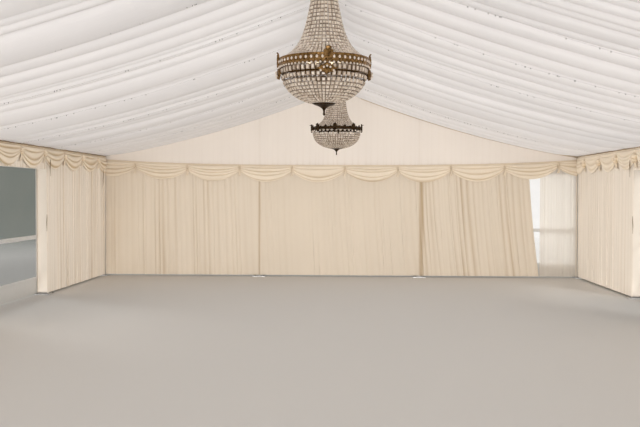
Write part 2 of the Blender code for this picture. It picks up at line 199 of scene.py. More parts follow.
def hang(name, points, finish, towards, rests_on, replaced=(), keep=None, layers=None):
    """Adds a sheet of cloth that hangs or lies on other pieces, as strip does; the pieces it rests on are not
    used. It works out the running length of its rows and of its columns and its faces' area, but keeps none of them."""
    piece = strip(name, points, finish, towards, replaced, keep, layers)
    wide, long = (running_length(points, axis)[-1] for axis in (1, 0))
    cloth_area = np.linalg.norm(quad_normals(*facing(points, towards, keep)), axis=1).sum()
    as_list(rests_on)
    return piece


def circle(count):
    """Angles spaced evenly round a circle."""
    return np.arange(count) * 2 * pi / count


def xyz(*coordinates):
    """Points from arrays of their coordinates, which are spread over one another."""
    return stack(np.broadcast_arrays(*coordinates), axis=-1)


def about(y, radius, angle, z):
    """Points at a radius, an angle and a height about the upright line through (0, y)."""
    return xyz(radius * cos(angle), y + radius * sin(angle), z)


def unit(vectors):
    """Vectors brought to length 1."""
    return vectors / np.linalg.norm(vectors, axis=-1, keepdims=True)


def turned(profile, y, segments=64, closed=False, foot=False, top=False):
    """Points and faces of a profile of (radius, height), spun about the upright line through (0, y). Heights
    run downwards. A foot or a top is closed with one flat face, and closed joins the profile's two ends."""
    first, angle = np.arange(segments), circle(segments)
    r, z = np.asarray(profile, dtype=float).T[:, :, None]
    last = first + (len(r) - 1) * segments
    faces = [grid_quads(len(r), segments, closed=True)]
    if closed:
        faces.append(stack([last, first, np.roll(first, -1), np.roll(last, -1)], axis=1))
    if top:
        faces.append(first[None, :])
    if foot:
        faces.append(last[None, ::-1])
    return about(y, r, angle, z).reshape(-1, 3), faces


def lofted(path, across, thick, wide, deep, sides=10):
    """Points and faces of a closed form along a path: every section is an ellipse about the path's point,
    wide times the unit vector across and deep times the unit vector thick."""
    angle, count, first = circle(sides), len(path), np.arange(sides)[None, :]
    across, thick = np.broadcast_to(across, path.shape)[:, None], np.broadcast_to(thick, path.shape)[:, None]
    wide, deep = (np.broadcast_to(size, count)[:, None] for size in (wide, deep))
    offset = (wide * cos(angle))[..., None] * across + (deep * sin(angle))[..., None] * thick
    points = (path[:, None] + offset).reshape(-1, 3)
    faces = [grid_quads(count, sides, closed=True), first, (first + (count - 1) * sides)[:, ::-1]]
    outward = offset.reshape(-1, 3)[faces[0]].mean(axis=1)
    if (quad_normals(points, faces[0]) * outward).sum() < 0:
        faces = [some[:, ::-1] for some in faces]
    return points, faces


def copies(shape, faces, origins, axes):
    """A small shape repeated: each copy is its origin plus the shape's coordinates times its three axes."""
    axes = np.broadcast_to(axes, (len(origins), 3, 3))
    points = origins[:, None, :] + np.einsum("pk,nkj->npj", shape, axes)
    offset = np.arange(len(origins))[:, None, None] * len(shape)
    return points.reshape(-1, 3), [(some[None] + offset).reshape(-1, some.shape[1]) for some in faces]


def joined(parts):
    """Several (points, faces) as one."""
    points, faces, offset = [], [], 0
    for some_points, some_faces in parts:
        points.append(some_points)
        faces += [some + offset for some in some_faces]
        offset += len(some_points)
    return concatenate(points), faces


def ball(rings=5, segments=8):
    """A unit ball with flat ends, as points and faces."""
    polar = linspace(0.12, pi - 0.12, rings)
    return turned(stack([sin(polar), cos(polar)], axis=1), 0, segments, foot=True, top=True)


# ---------------------------------------------------------------- materials


class Nodes:
    """Adds nodes to a tree: each call sets the sockets that are given, in order or by name, and returns the
    node or its result. A value may be a number, a colour, a socket or a node."""

    def __init__(self, tree):
        self.tree = tree
        tree.nodes.clear()

    def add(self, kind, settings=None, *values, **named):
        node = self.tree.nodes.new("ShaderNode" + kind)
        for key, value in (settings or {}).items():
            setattr(node, key, value)
        for key, value in [*enumerate(values), *named.items()]:
            self.put(node, key.replace("_", " ") if isinstance(key, str) else key, value)
        return node

    def put(self, node, key, value):
        if isinstance(value, bpy.types.Node):
            value = value.outputs[0]
        if isinstance(value, bpy.types.NodeSocket):
            self.tree.links.new(value, node.inputs[key])
        elif value is not None:
            node.inputs[key].default_value = value

    def math(self, operation, a, b=0.0):
        return self.add("Math", {"operation": operation}, a, b)

    def mix(self, share, a, b, blend="MIX"):
        node = self.add("Mix", {"data_type": "RGBA", "blend_type": blend}, share)
        self.put(node, 6, a)
        self.put(node, 7, b)
        return node.outputs[2]

    def ramp(self, value, *stops):
        node = self.add("ValToRGB", None, value)
        elements = node.color_ramp.elements
        while len(elements) < len(stops):
            elements.new(0.5)
        for element, (place, colour) in zip(elements, stops):
            element.position, element.color = place, (*colour, 1.0)
        return node

    def greys(self, value, low, dark, high, light):
        return self.ramp(value, (low, grey(dark)), (high, grey(light)))

    def noise(self, vector, scale, detail=3.0, roughness=0.5, stretch=None):
        if stretch:
            vector = self.add("Mapping", None, vector, Scale=stretch)
        return self.add("TexNoise", None, vector, Scale=scale, Detail=detail, Roughness=roughness).outputs["Fac"]

    def bump(self, height, strength, distance, normal=None):
        return self.add("Bump", None, Strength=strength, Distance=distance, Height=height, Normal=normal)

    def place(self):
        return self.add("TexCoord").outputs["Object"]

    def attribute(self, name):
        return self.add("Attribute", {"attribute_name": name}).outputs["Fac"]

    def face(self, **named):
        return self.add("BsdfPrincipled", None, **named)

    def both(self, share, a, b):
        return self.add("MixShader", None, share, a, b)

    def finish(self, shader):
        self.add("OutputMaterial", None, shader)


def new_material(name):
    """An empty node material, and what adds its nodes."""
    material = bpy.data.materials.new(name)
    material.use_nodes = True
    return material, Nodes(material.node_tree)


def grey(value):
    """A colour without a hue."""
    return (value, value, value)


def tint(colour, by):
    """A colour made darker or paler."""
    return tuple(min(1.0, c * by) for c in colour)


def cloth(name, slot, colour, through, letting=0.1, weave=0.0011, crumple=0.35, roughness=0.85,
          painted_shade_colour=(0.66, 0.57, 0.45)):
    """Woven lining cloth: soft mottling, a crumple along the drop, the weave, and light that comes through.
    Where its 'layers' attribute is up, both colours are multiplied by a painted shade colour, which paints shade into
    the cloth's folds."""
    material, n = new_material(name)
    uv = n.add("UVMap", {"uv_map": "cloth"})
    mottle = n.noise(uv, 1.0, 4.0, 0.55, (1.3, 0.7, 1.0))
    # painted_shade_tint: white where 'layers' is 0 and the painted shade colour where it is 1; this is painted shade
    painted_shade_tint = n.ramp(n.attribute("layers"), (0.0, grey(1.0)), (1.0, painted_shade_colour))
    shade, passed = (n.mix(1.0, n.ramp(mottle, (0.3, tint(tone, low)), (0.7, tone)), painted_shade_tint, "MULTIPLY")
                     for tone, low in ((colour, 0.955), (through, 0.97)))
    creases = n.noise(uv, 1.0, 5.0, 0.6, (14.0, 1.6, 1.0))
    warp, weft = (n.add("TexWave", {"bands_direction": way}, uv, Scale=1 / weave / 6.283).outputs["Fac"]
                  for way in "XY")
    normal = n.bump(n.math("MULTIPLY", warp, weft), 0.12, 0.0003, n.bump(creases, crumple, 0.01))
    face = n.face(Base_Color=shade, Roughness=roughness, Normal=normal, Specular_IOR_Level=0.25, Sheen_Weight=0.12)
    n.finish(n.both(letting, face, n.add("BsdfTranslucent", None, passed, Normal=normal)))
    return material, slot


def coated_fabric(name):
    """White coated sheeting: a faint scrim under the coating, soft dirt towards the foot, a dull gloss."""
    material, n = new_material(name)
    place = n.place()
    height = n.add("SeparateXYZ", None, place).outputs["Z"]
    streaks = n.noise(place, 1.0, 5.0, 0.6, (7.0, 7.0, 0.8))
    worn = n.math("MULTIPLY", n.greys(streaks, 0.3, 0.92, 0.65, 1.0), n.greys(height, 0.0, 0.6, 0.3, 1.0))
    clouded = n.math("MULTIPLY", worn, n.greys(n.noise(place, 0.7, 4.0), 0.3, 0.93, 0.7, 1.0))
    base = n.ramp(clouded, (0.4, (0.55, 0.53, 0.48)), (1.0, (0.84, 0.845, 0.84)))
    ripple = n.bump(n.noise(place, 3.0, 3.0, stretch=(1.0, 1.0, 0.5)), 0.18, 0.02)
    normal = n.bump(n.noise(place, 900.0, 1.0), 0.05, 0.0004, ripple)
    face = n.face(Base_Color=base, Roughness=0.42, Normal=normal, Specular_IOR_Level=0.45, Coat_Weight=0.1)
    n.finish(n.both(0.22, face, n.add("BsdfTranslucent", None, (0.8, 0.8, 0.78, 1.0))))
    return material, "coated_fabric"


def clear_sheet(name):
    """Clear flexible sheet: mostly see-through with a grey-green cast, and a wavy gloss."""
    material, n = new_material(name)
    place = n.place()
    normal = n.bump(n.noise(place, 1.0, 3.0, stretch=(1.5, 1.5, 2.5)), 0.6, 0.02)
    see = n.add("BsdfTransparent", None, (0.9, 0.905, 0.895, 1.0))
    gloss = n.face(Base_Color=(0.6, 0.63, 0.6, 1.0), Roughness=0.12, Normal=normal)
    n.finish(n.both(n.greys(n.noise(place, 2.3, 4.0), 0.3, 0.05, 0.75, 0.13), see, gloss))
    return material, "clear_sheet"


def metal(name, slot, low, high, roughness, scale, stretch=(1, 1, 1), grain=0.2, metallic=1.0):
    """Metal whose colour runs between two shades by a stretched noise, with a grain in its gloss."""
    material, n = new_material(name)
    place = n.place()
    colour = n.ramp(n.noise(place, scale, 5.0, 0.6, stretch), (0.3, low), (0.7, high))
    fine = n.noise(place, scale * 9, 3.0, stretch=stretch)
    rough = n.greys(fine, 0.25, roughness * 0.8, 0.75, roughness * 1.3)
    n.finish(n.face(Base_Color=colour, Metallic=metallic, Roughness=rough, Normal=n.bump(fine, grain, 0.0006)))
    return material, slot


def cut_crystal(name):
    """Cut crystal: the per-face tone paints light and shade on every facet, from amber dark to pale, under a hard
    gloss.
    """
    material, n = new_material(name)
    flicker = n.math("MULTIPLY", n.math("SUBTRACT", n.noise(n.place(), 160.0, 2.0), 0.5), 0.25)
    shade = n.ramp(n.math("ADD", n.attribute("tone"), flicker), (0.0, (0.08, 0.052, 0.03)),
                   (0.35, (0.3, 0.225, 0.16)), (0.7, (0.72, 0.61, 0.5)), (1.0, (1.0, 0.92, 0.83)))
    n.finish(n.face(Base_Color=shade, Roughness=0.1, IOR=1.6, Specular_IOR_Level=0.6))
    return material, "crystal"


def lamp_glow(name, colour, strength):
    """A small bulb's frosted glow, uneven from its foot to its tip."""
    material, n = new_material(name)
    place = n.place()
    shade, glow = (n.ramp(n.noise(place, scale), (0.3, tint(colour, low)), (0.7, colour))
                   for scale, low in ((90.0, 0.8), (40.0, 0.85)))
    n.finish(n.face(Base_Color=shade, Roughness=0.25, Emission_Color=glow, Emission_Strength=strength))
    return material, "crystal"


IVORY = "ivory_lining"
ROOF_CLOTH = cloth("white_lining_cloth", "white_lining", (0.86, 0.85, 0.86), (0.95, 0.94, 0.95), 0.4,
                   crumple=0.25, painted_shade_colour=(0.7, 0.67, 0.64))
WALL_CLOTH = cloth("ivory_lining_cloth", IVORY, (0.86, 0.79, 0.7), (0.9, 0.82, 0.72))
GABLE_CLOTH = cloth("ivory_gable_cloth", IVORY, (0.84, 0.75, 0.63), (0.9, 0.82, 0.72))
# The upper gable's lining is the ivory lining painted paler: painted light that makes the upper gable brighter than
# the lower
UPPER_CLOTH = cloth("ivory_lining_cloth_painted_paler", IVORY, (0.93, 0.87, 0.81), (0.92, 0.86, 0.8), 0.12)
BACKLIT_CLOTH = cloth("thin_ivory_lining_cloth", IVORY, (0.88, 0.83, 0.76), (0.96, 0.92, 0.87), 0.5)
# The hem is the ivory lining painted darker: painted shade along the line under the roof lining
HEM_CLOTH = cloth("rolled_hem_cloth_painted_darker", IVORY, (0.66, 0.54, 0.4), (0.6, 0.5, 0.36))
SWAG_CLOTH = cloth("cream_swag_cloth", "swag_cloth", (0.905, 0.81, 0.675), (0.89, 0.79, 0.64), crumple=0.5,
                   roughness=0.6, painted_shade_colour=(0.6, 0.5, 0.36))
# Brown cloth for the binding and the cords' ends; as dark strips they also stand in for shadow in gaps and slits
BINDING_AND_SHADOW_CLOTH = cloth("brown_binding_and_shadow", "swag_cloth", (0.3, 0.21, 0.12), (0.3, 0.2, 0.1), weave=0.0006)
COVER = coated_fabric("white_coated_sheeting")
CLEAR = clear_sheet("clear_flexible_sheet")
ALUMINIUM = metal("mill_aluminium", "frame_metal", (0.55, 0.56, 0.57), (0.72, 0.73, 0.74), 0.36, 4.0, (6, 6, 1))
STEEL = metal("plated_steel", "frame_metal", (0.3, 0.3, 0.3), (0.55, 0.54, 0.52), 0.4, 30.0)
BRONZE = metal("aged_bronze", "ring_metal", (0.07, 0.038, 0.013), (0.42, 0.25, 0.1), 0.34, 60.0, grain=0.8)
DARK_BRONZE = metal("dark_bronze", "ring_metal", (0.02, 0.012, 0.007), (0.1, 0.062, 0.032), 0.45, 40.0, grain=0.6)
CRYSTAL = cut_crystal("cut_crystal")
WIRE = metal("dark_wire", "frame_metal", (0.1, 0.1, 0.095), (0.2, 0.19, 0.18), 0.5, 60.0, metallic=0.2)
BULB = lamp_glow("warm_bulb", (1.0, 0.82, 0.58), 1.5)


# ---------------------------------------------------------------- roof lining

LEFT_CREASES = (-0.8, -0.63, 0.22, 0.56, 0.93, 1.35, 1.55, 1.8, 2.12, 2.88, 3.02, 4.05, 4.47, 4.87, 5.25, 5.75, 6.0,
                6.75, 7.26, 7.85, 8.27, 8.58)
RIGHT_CREASES = (-0.78, -0.6, -0.41, -0.05, 0.16, 0.57, 1.05, 1.54, 1.95, 2.35, 2.74, 2.98, 3.6, 4.1, 4.35, 4.83,
                 5.3, 6.3, 7.1, 7.65, 8.2, 8.6)
CREASE_MIRROR = -0.8  # the creases behind the camera repeat those in front of it
FOLD_STEPS, FOLD_ROWS = 9, 60
FOLD_SHARE, DEEPEST_FOLD = 0.16, 0.085  # how deep a fold hangs for its width, and at most
HELD_AT_GABLE = 0.25  # how far from a gable the folds have their whole depth


def crease_places(creases):
    """Creases from gable to gable: those in front of the mirror line, and their images behind it."""
    ahead = np.array(creases)
    behind = 2 * CREASE_MIRROR - ahead[ahead > CREASE_MIRROR + 0.1]
    inside = [y for y in concatenate([behind, ahead]) if abs(y) < GABLE_LINING_OUT - 0.15]
    return np.unique(np.round([-GABLE_LINING_OUT, *inside, GABLE_LINING_OUT], 3))


def roof_lining(side, sign, creases, seed, far_shade):
    """One slope's lining. Between two creases the cloth hangs in a fold whose drop is a share of its width,
    up to a limit, times a sine to the power 0.8. Folds die out at the eave, the ridge and the gables."""
    draw = np.random.default_rng(seed)
    marks = crease_places(creases)
    count = len(marks) - 1
    fold = np.repeat(np.arange(count), FOLD_STEPS)
    part = (1 - cos(pi * np.tile(np.arange(FOLD_STEPS) / FOLD_STEPS, count))) / 2
    width = np.diff(marks)[fold]
    y = np.append(marks[fold] + part * width, marks[-1])
    fold, part, width = np.append(fold, fold[-1]), np.append(part, 1.0), np.append(width, width[-1])
    up = linspace(0, 1, FOLD_ROWS)[:, None]
    x = LINING_PARTING + (LINING_REACH - LINING_PARTING) * (1 - up)
    held = clip(up / 0.1, 0, 1) ** 0.8 * clip((1 - up) / 0.05, 0, 1) ** 0.8
    held = held * clip((GABLE_LINING_OUT - np.abs(y)) / HELD_AT_GABLE, 0, 1)
    weight = draw.uniform(0.45, 1.1, count + 1)[fold]
    drop = np.minimum(FOLD_SHARE * width * weight, DEEPEST_FOLD) * sin(pi * part**0.85) ** 0.8
    tilt = draw.normal(0, 1, (count + 1, 3))[fold]
    wander = 0.012 * sin(pi * part) * sin(pi * (up * 2 + tilt[:, 0])) * np.minimum(1, width / 0.3)
    ripples = 0.0035 * sin(2 * pi * (3 * part + 0.7 * up + tilt[:, 1])) * sin(pi * part)
    lift = 0.02 * bump(np.minimum(part, 1 - part) * width, 0, 0.025)
    z = lining_under(x) - held * (drop + ripples * width / 0.5 - lift)
    sway = held * (wander + 0.01 * sin(2 * pi * (1.5 * up + tilt[:, 2] * 0.2)))
    points = xyz(sign * x, y + sway, z)
    # Painted shade for the 'layers' attribute: darker towards each fold's far crease and at the creases, and by
    # far_shade darker towards the far gable
    near_crease = bump((1 - part) * width, 0, 0.05) + 0.5 * bump(part * width, 0, 0.02)
    painted_shade = weight * (0.75 * part**1.7 + 0.5 * near_crease)
    painted_shade = clip(painted_shade * (0.8 + 0.35 * sin(2 * pi * (0.8 * up + tilt[:, 1]))), 0, 1) * (0.4 + 0.6 * held)
    painted_shade = clip(painted_shade + far_shade * clip((y - 1.5) / 6.5, 0, 1), 0, 1)
    hang(f"white_roof_lining_{side}", points, ROOF_CLOTH, (0, 0, -1), ["ridge_rail", *FRAMES],
         [f"roof_lining_{side}"], layers=painted_shade)


# ---------------------------------------------------------------- wall linings

# A wall seen from inside: what turns (along, in from the lining's outer face, up) into the tent's frame, the way
# it faces, the solid that its lining replaces and the pieces that carry it
Wall = namedtuple("Wall", "place towards node carried")
TOP_OF_LINING = LINING_EAVE - ROOF_LINING - 2 * FIT
PLEAT, PLEAT_STEPS = 0.095, 7
TIE = 1.15
WINDOW_BAY = (5.94, 3.0)
CORNER_SPOT = (0.036, 0.03)
FAR_JOINS = ((-1.5, 0.016), (1.54, 0.04))  # where the far lining's drops of cloth meet, and how wide the gap is
PARTING_LEFT, PARTING_RIGHT, PARTING_SLANT = 3.53, 3.74, 0.2
PARTING_BAND = (3.5, 3.76)


def side_of(side, sign):
    """A side wall, where along is +Y."""

    def place(along, inwards, up):
        return xyz(sign * (LINING_REACH - inwards), along, up)

    return Wall(place, (-sign, 0, 0), f"wall_lining_{side}", FRAMES)


def gable_of(label, sign):
    """A gable wall, where along is +X."""

    def place(along, inwards, up):
        return xyz(along, sign * (GABLE_LINING_OUT - inwards), up)

    posts = [f"gable_post_{label}_left", f"gable_post_{label}_right"]
    return Wall(place, (0, -sign, 0), f"wall_lining_{label}", [*posts, FRAMES[-1 if sign > 0 else 0]])


WALLS = {side: side_of(side, sign) for side, sign in SIDES} | {label: gable_of(label, sign) for label, sign in ENDS}


def pleat_columns(count, seed, steps, even=1.0):
    """Columns of a pleated sheet: the share of the width, the place within the pleat and the pleat's size."""
    draw = np.random.default_rng(seed)
    widths = draw.uniform(0.35, 1.65, count)
    edges = concatenate([[0], np.cumsum(widths)]) / widths.sum()
    pleat = np.repeat(np.arange(count), steps)
    place = np.tile(np.arange(steps) / steps, count)
    share = edges[pleat] + place * (edges[pleat + 1] - edges[pleat])
    size = draw.uniform(0.15, 1.0, count) ** (2 - even)
    lean = draw.normal(0, 1, count)
    return np.append(share, 1.0), np.append(place, 0.0), np.append(size[pleat], 0.4), np.append(lean[pleat], 0.0)


def curtain(left, right, heights, count, deep, seed, stand=0.003, sharp=0.8, loose=1.0, even=1.0, shade=1.0):
    """Pleated cloth as (along, inwards, up). Along is the left edge plus the column's share of the width,
    with a lean that grows downwards, and inwards is a stand-off plus the pleat's depth times a sine."""
    share, place, size, lean = pleat_columns(count, seed, PLEAT_STEPS, even)
    down = linspace(0, 1, len(heights))[:, None]
    left, right = (np.broadcast_to(edge, len(heights))[:, None] for edge in (left, right))
    pitch = (right - left) / count
    ends = np.minimum(1, np.minimum(share, 1 - share) * count)
    along = left + share * (right - left) + 0.35 * pitch * lean * ends * loose * sin(pi * place) * down
    fold = size * sin(pi * place) ** sharp * (0.75 + 0.25 * sin(3 * down + 2 * lean))
    inwards = stand + deep * fold + 0.15 * deep * sin(2 * pi * (3.3 * share + 0.4 * down))
    # Painted shade in the pleats' valleys, stronger in patches along the wall and for the larger pleats
    patch = 0.35 + 0.65 * sin(seed + 2.3 * left + 6.5 * share * (right - left) / 1.7) ** 2
    painted_shade = shade * patch * (1 - sin(pi * place)) ** 0.9 * (0.2 + 0.8 * size)
    painted_shade = painted_shade * (0.75 + 0.25 * sin(5 * down + 3 * lean))
    return along, np.maximum(inwards, 0.001), heights[:, None], painted_shade


def hung_lining(name, wall, left, right, heights, seed, deep=0.022, material=WALL_CLOTH, pitch=PLEAT, sag=0.0,
                joins=(), **more):
    """A stretch of pleated wall lining. At a join two drops of cloth meet in a gap with painted shade, and
    between the joins of a gable the cloth is drawn nearly flat with less painted shade, which is stronger beyond 1.5
    m."""
    count = max(2, round(float(np.mean(right - left)) / pitch))
    along, inwards, up, painted_shade = curtain(left, right, heights, count, deep, seed, **more)
    if joins:
        calm = bump(along, 0, 1.4, 8)
        inwards = inwards * (1 - 0.5 * calm)
        painted_shade = painted_shade * np.where(along > 1.5, 1.7, 1.0) * (1 - 0.75 * calm)
    for middle, wide in joins:
        gap = bump(along, middle, wide, 4)
        inwards, painted_shade = inwards * (1 - 0.8 * gap), clip(painted_shade + 0.75 * gap, 0, 1)
    share = clip((up - OPEN_HEAD) / (LINING_SEAM - FIT - OPEN_HEAD), 0, 1)
    hang(name, wall.place(along, inwards, up - far_sag(along, sag) * share), material, wall.towards,
         wall.carried, [wall.node], layers=painted_shade)


def tied_curtain(name, wall, tied, inward, seed):
    """The lining of a window bay, drawn to one side and tied: its free edge runs in smooth curves from the
    head to the tie and out again to the foot, and its folds are deepest at the tie."""
    heights = concatenate([linspace(OPEN_HEAD + 0.05, 1.24, 16), [1.19, TIE, 1.11], linspace(1.05, LINING_HEM, 14)])
    above = clip((heights - TIE) / (OPEN_HEAD - TIE), 0, 1.06)
    below = clip((TIE - heights) / (TIE - LINING_HEM), 0, 1)
    edge = tied + inward * (0.15 + 0.38 * above**1.5 + 0.13 * below**0.7)
    left, right = (tied, edge) if inward > 0 else (edge, tied)
    along, inwards, up, painted_shade = curtain(left, right, heights, 11, 1.0, seed, stand=0.0, sharp=0.7, loose=0.5)
    deep = 0.03 + 0.022 * bump(heights, TIE, 0.25) + 0.008 * below
    points = wall.place(along, 0.006 + clip(inwards, 0, 1.05) * deep[:, None], up)
    # layers is the curtain's painted shade in its pleats' valleys
    hang(name, points, WALL_CLOTH, wall.towards, wall.carried, [wall.node], layers=painted_shade)


def tie_band(name, wall, tied, inward):
    """The tie round a drawn curtain: a soft band across its folds that drops a little towards the free edge."""
    across = linspace(-0.005, 0.165, 30)
    over = sin(pi * clip((across + 0.005) / 0.17, 0, 1)) ** 0.5
    rows = linspace(-1, 1, 7)[:, None]
    up = TIE + 0.005 - 0.1 * across - rows * 0.02
    inwards = 0.008 + 0.058 * over + 0.003 * (1 - rows**2)
    strip(name, wall.place(tied + inward * across, inwards, up), WALL_CLOTH, wall.towards)


def side_linings(side, seed, deep, shade, band_shade):
    """Ivory linings of one side: three whole stretches, a band over each window bay and two tied curtains."""
    wall = WALLS[side]
    full = linspace(TOP_OF_LINING, LINING_HEM, 18)
    band = linspace(TOP_OF_LINING, WINDOW_HEAD - 0.035, 6)
    outer, inner = WINDOW_BAY
    edge = GABLE_LINING_OUT - 0.001
    whole = ("near", -edge, -outer), ("middle", -inner, inner), ("far", outer, edge)
    for number, (label, low, high) in enumerate(whole):
        hung_lining(f"ivory_lining_{side}_{label}", wall, low, high, full, seed + number, deep, shade=shade)
    for number, (label, low, high) in enumerate((("near", -outer, -inner), ("far", inner, outer))):
        hung_lining(f"ivory_band_{side}_{label}", wall, low, high, band, seed + 5 + number, shade=band_shade)
    for number, (label, end) in enumerate(ENDS):
        tied_curtain(f"tied_curtain_{side}_{label}", wall, end * inner, end, seed + 8 + number)
        tie_band(f"curtain_tie_{side}_{label}", wall, end * inner, end)


def corner_seams():
    """A soft rolled seam down each corner, where a gable's lining meets a side's: a quarter turn of cloth."""
    turn, up = linspace(-0.3, pi / 2 + 0.3, 9), linspace(LINING_EAVE - 0.012, LINING_HEM, 40)[:, None]
    for label, end in ENDS:
        for side, sign in SIDES:
            roll = 0.016 + 0.0025 * sin(up * 9 + sign)
            x = sign * (LINING_REACH - CORNER_SPOT[0] + roll * sin(turn))
            y = end * (GABLE_LINING_OUT - CORNER_SPOT[1] + roll * cos(turn))
            strip(f"lining_corner_{label}_{side}", xyz(x, y, up), WALL_CLOTH, (-sign, -end, 0))


# The path of the cloth round a leg, from the lining to the wall: across the tent, and along it past the leg's face
WRAP_PATH = np.array([(4.4395, 0.03), (4.437, 0.003), (4.4375, 0.0), (4.47, 0.0), (4.5, 0.0), (4.54, 0.0),
                      (4.575, 0.0), (4.589, -0.002), (4.5918, -0.006), (4.5918, -0.02), (4.5918, -0.037)])
LEG_HALF, WRAP_TOP = 0.0375, 2.235


def leg_wraps():
    """Ivory cloth that turns from the linings round the legs beside the window bays and on to the wall. Its
    path is the leg's side and a short run of wall, and it is drawn tight with faint puckers."""
    across, ahead = WRAP_PATH.T
    up = linspace(WRAP_TOP, LINING_HEM, 34)[:, None]
    pucker = 0.0015 * sin(2 * pi * up / 0.19 + 9 * across) * sin(pi * linspace(0, 1, len(WRAP_PATH)))
    for side, sign in SIDES:
        for number, (leg, way) in enumerate(((-6.0, 1), (-3.0, -1), (3.0, 1), (6.0, -1)), 1):
            y = leg + way * (LEG_HALF - ahead + pucker)
            hang(f"leg_wrap_{side}_{number}", xyz(sign * across, y, up), WALL_CLOTH, (-sign, way, 0),
                 [FRAMES[round(leg / BAY) + 3]])


def gable_linings():
    """Ivory linings of the gables: pleated ones below the seam and nearly flat ones above it. The far one is
    parted: the left cloth's edge slants, and thin cloth hangs beside it in front of the window."""
    full = linspace(LINING_SEAM - FIT, LINING_HEM, 18)
    over = linspace(LINING_SEAM - FIT, OPEN_HEAD, 3)
    slant = PARTING_LEFT + PARTING_SLANT * clip((OPEN_HEAD - full) / (OPEN_HEAD - LINING_HEM), 0, 1)
    slant = slant - 0.02 * sin(pi * linspace(0, 1, len(full)))
    far, near = WALLS["far"], WALLS["near"]
    hung_lining("ivory_lining_far_left", far, -LINING_EDGE, slant, full, 80, material=GABLE_CLOTH, even=0.15,
                shade=0.62, pitch=0.08, sag=FAR_SAG, joins=FAR_JOINS)
    hung_lining("ivory_lining_far_right", far, PARTING_RIGHT, LINING_EDGE, full, 81, 0.009, BACKLIT_CLOTH, 0.05,
                FAR_SAG, shade=0.25)
    hung_lining("ivory_band_far", far, *PARTING_BAND, over, 82, 0.006, BACKLIT_CLOTH, sag=FAR_SAG)
    beside_door = ("left", -LINING_EDGE, -DOOR_HALF), ("right", DOOR_HALF, LINING_EDGE)
    for number, (side, low, high) in enumerate(beside_door):
        hung_lining(f"ivory_lining_near_{side}", near, low, high, full, 83 + number, material=GABLE_CLOTH, even=0.0,
                    shade=0.8)
    hung_lining("ivory_band_near", near, -DOOR_HALF, DOOR_HALF, over, 85, material=GABLE_CLOTH)
    for label, sign in reversed(ENDS):
        upper_gable_lining(label, sign)


def upper_gable_lining(label, sign):
    """The gable's upper lining: its head follows the roof lining, and it is nearly flat, with a sewn seam over
    each post and shallow pleats at its foot, which die out upwards and show again faintly at its head."""
    wall = WALLS[label]
    share, part, size, _ = pleat_columns(90, 90 + sign, 6)
    x = LINING_EDGE * (2 * share - 1)
    up = linspace(0, 1, 24)[:, None]
    foot = LINING_SEAM - far_sag(x, FAR_SAG if sign > 0 else 0.0)
    z = foot + (lining_under(x) - 2 * FIT - foot) * up
    seam = bump(np.abs(x), POST_AT, 0.012)
    gather = exp(-up / 0.08) + 0.25 * exp(-(1 - up) / 0.05) + 0.12
    inwards = 0.006 + 0.009 * size * sin(pi * part) ** 0.9 * gather * (0.7 + 0.3 * sin(7 * share + 3 * up))
    points = wall.place(x, np.maximum(inwards - 0.002 * seam, 0.0015), z)
    # layers paints shade in the pleats' valleys and along each seam
    hang(f"ivory_upper_lining_{label}", points, UPPER_CLOTH, wall.towards, [*wall.carried, "ridge_rail"],
         [f"gable_lining_{label}"], layers=0.25 * (1 - sin(pi * part)) ** 2 * gather + 0.1 * seam)


def gable_hems():
    """The rolled hem along the right half of each upper gable lining's head, where it shows below the roof
    lining: a half tube on the roof lining's curve, in cloth painted darker as the shade under the roof lining."""
    turn, x = linspace(0, pi, 7)[:, None], linspace(0.4, LINING_EDGE, 90)
    for label in ("far", "near"):
        wall = WALLS[label]
        points = wall.place(x, 0.014 + 0.01 * sin(turn), lining_under(x) - 0.019 + 0.012 * cos(turn))
        strip(f"gable_hem_{label}", points, HEM_CLOTH, wall.towards)


# ---------------------------------------------------------------- pelmets

ARC_ROWS, HEADING_ROWS = 46, 4
STEPS_PER_SWAG = 28
BAND = 0.026
BINDING_UP, BINDING_HALF, BINDING_IN = 2.2545, 0.0075, 0.034


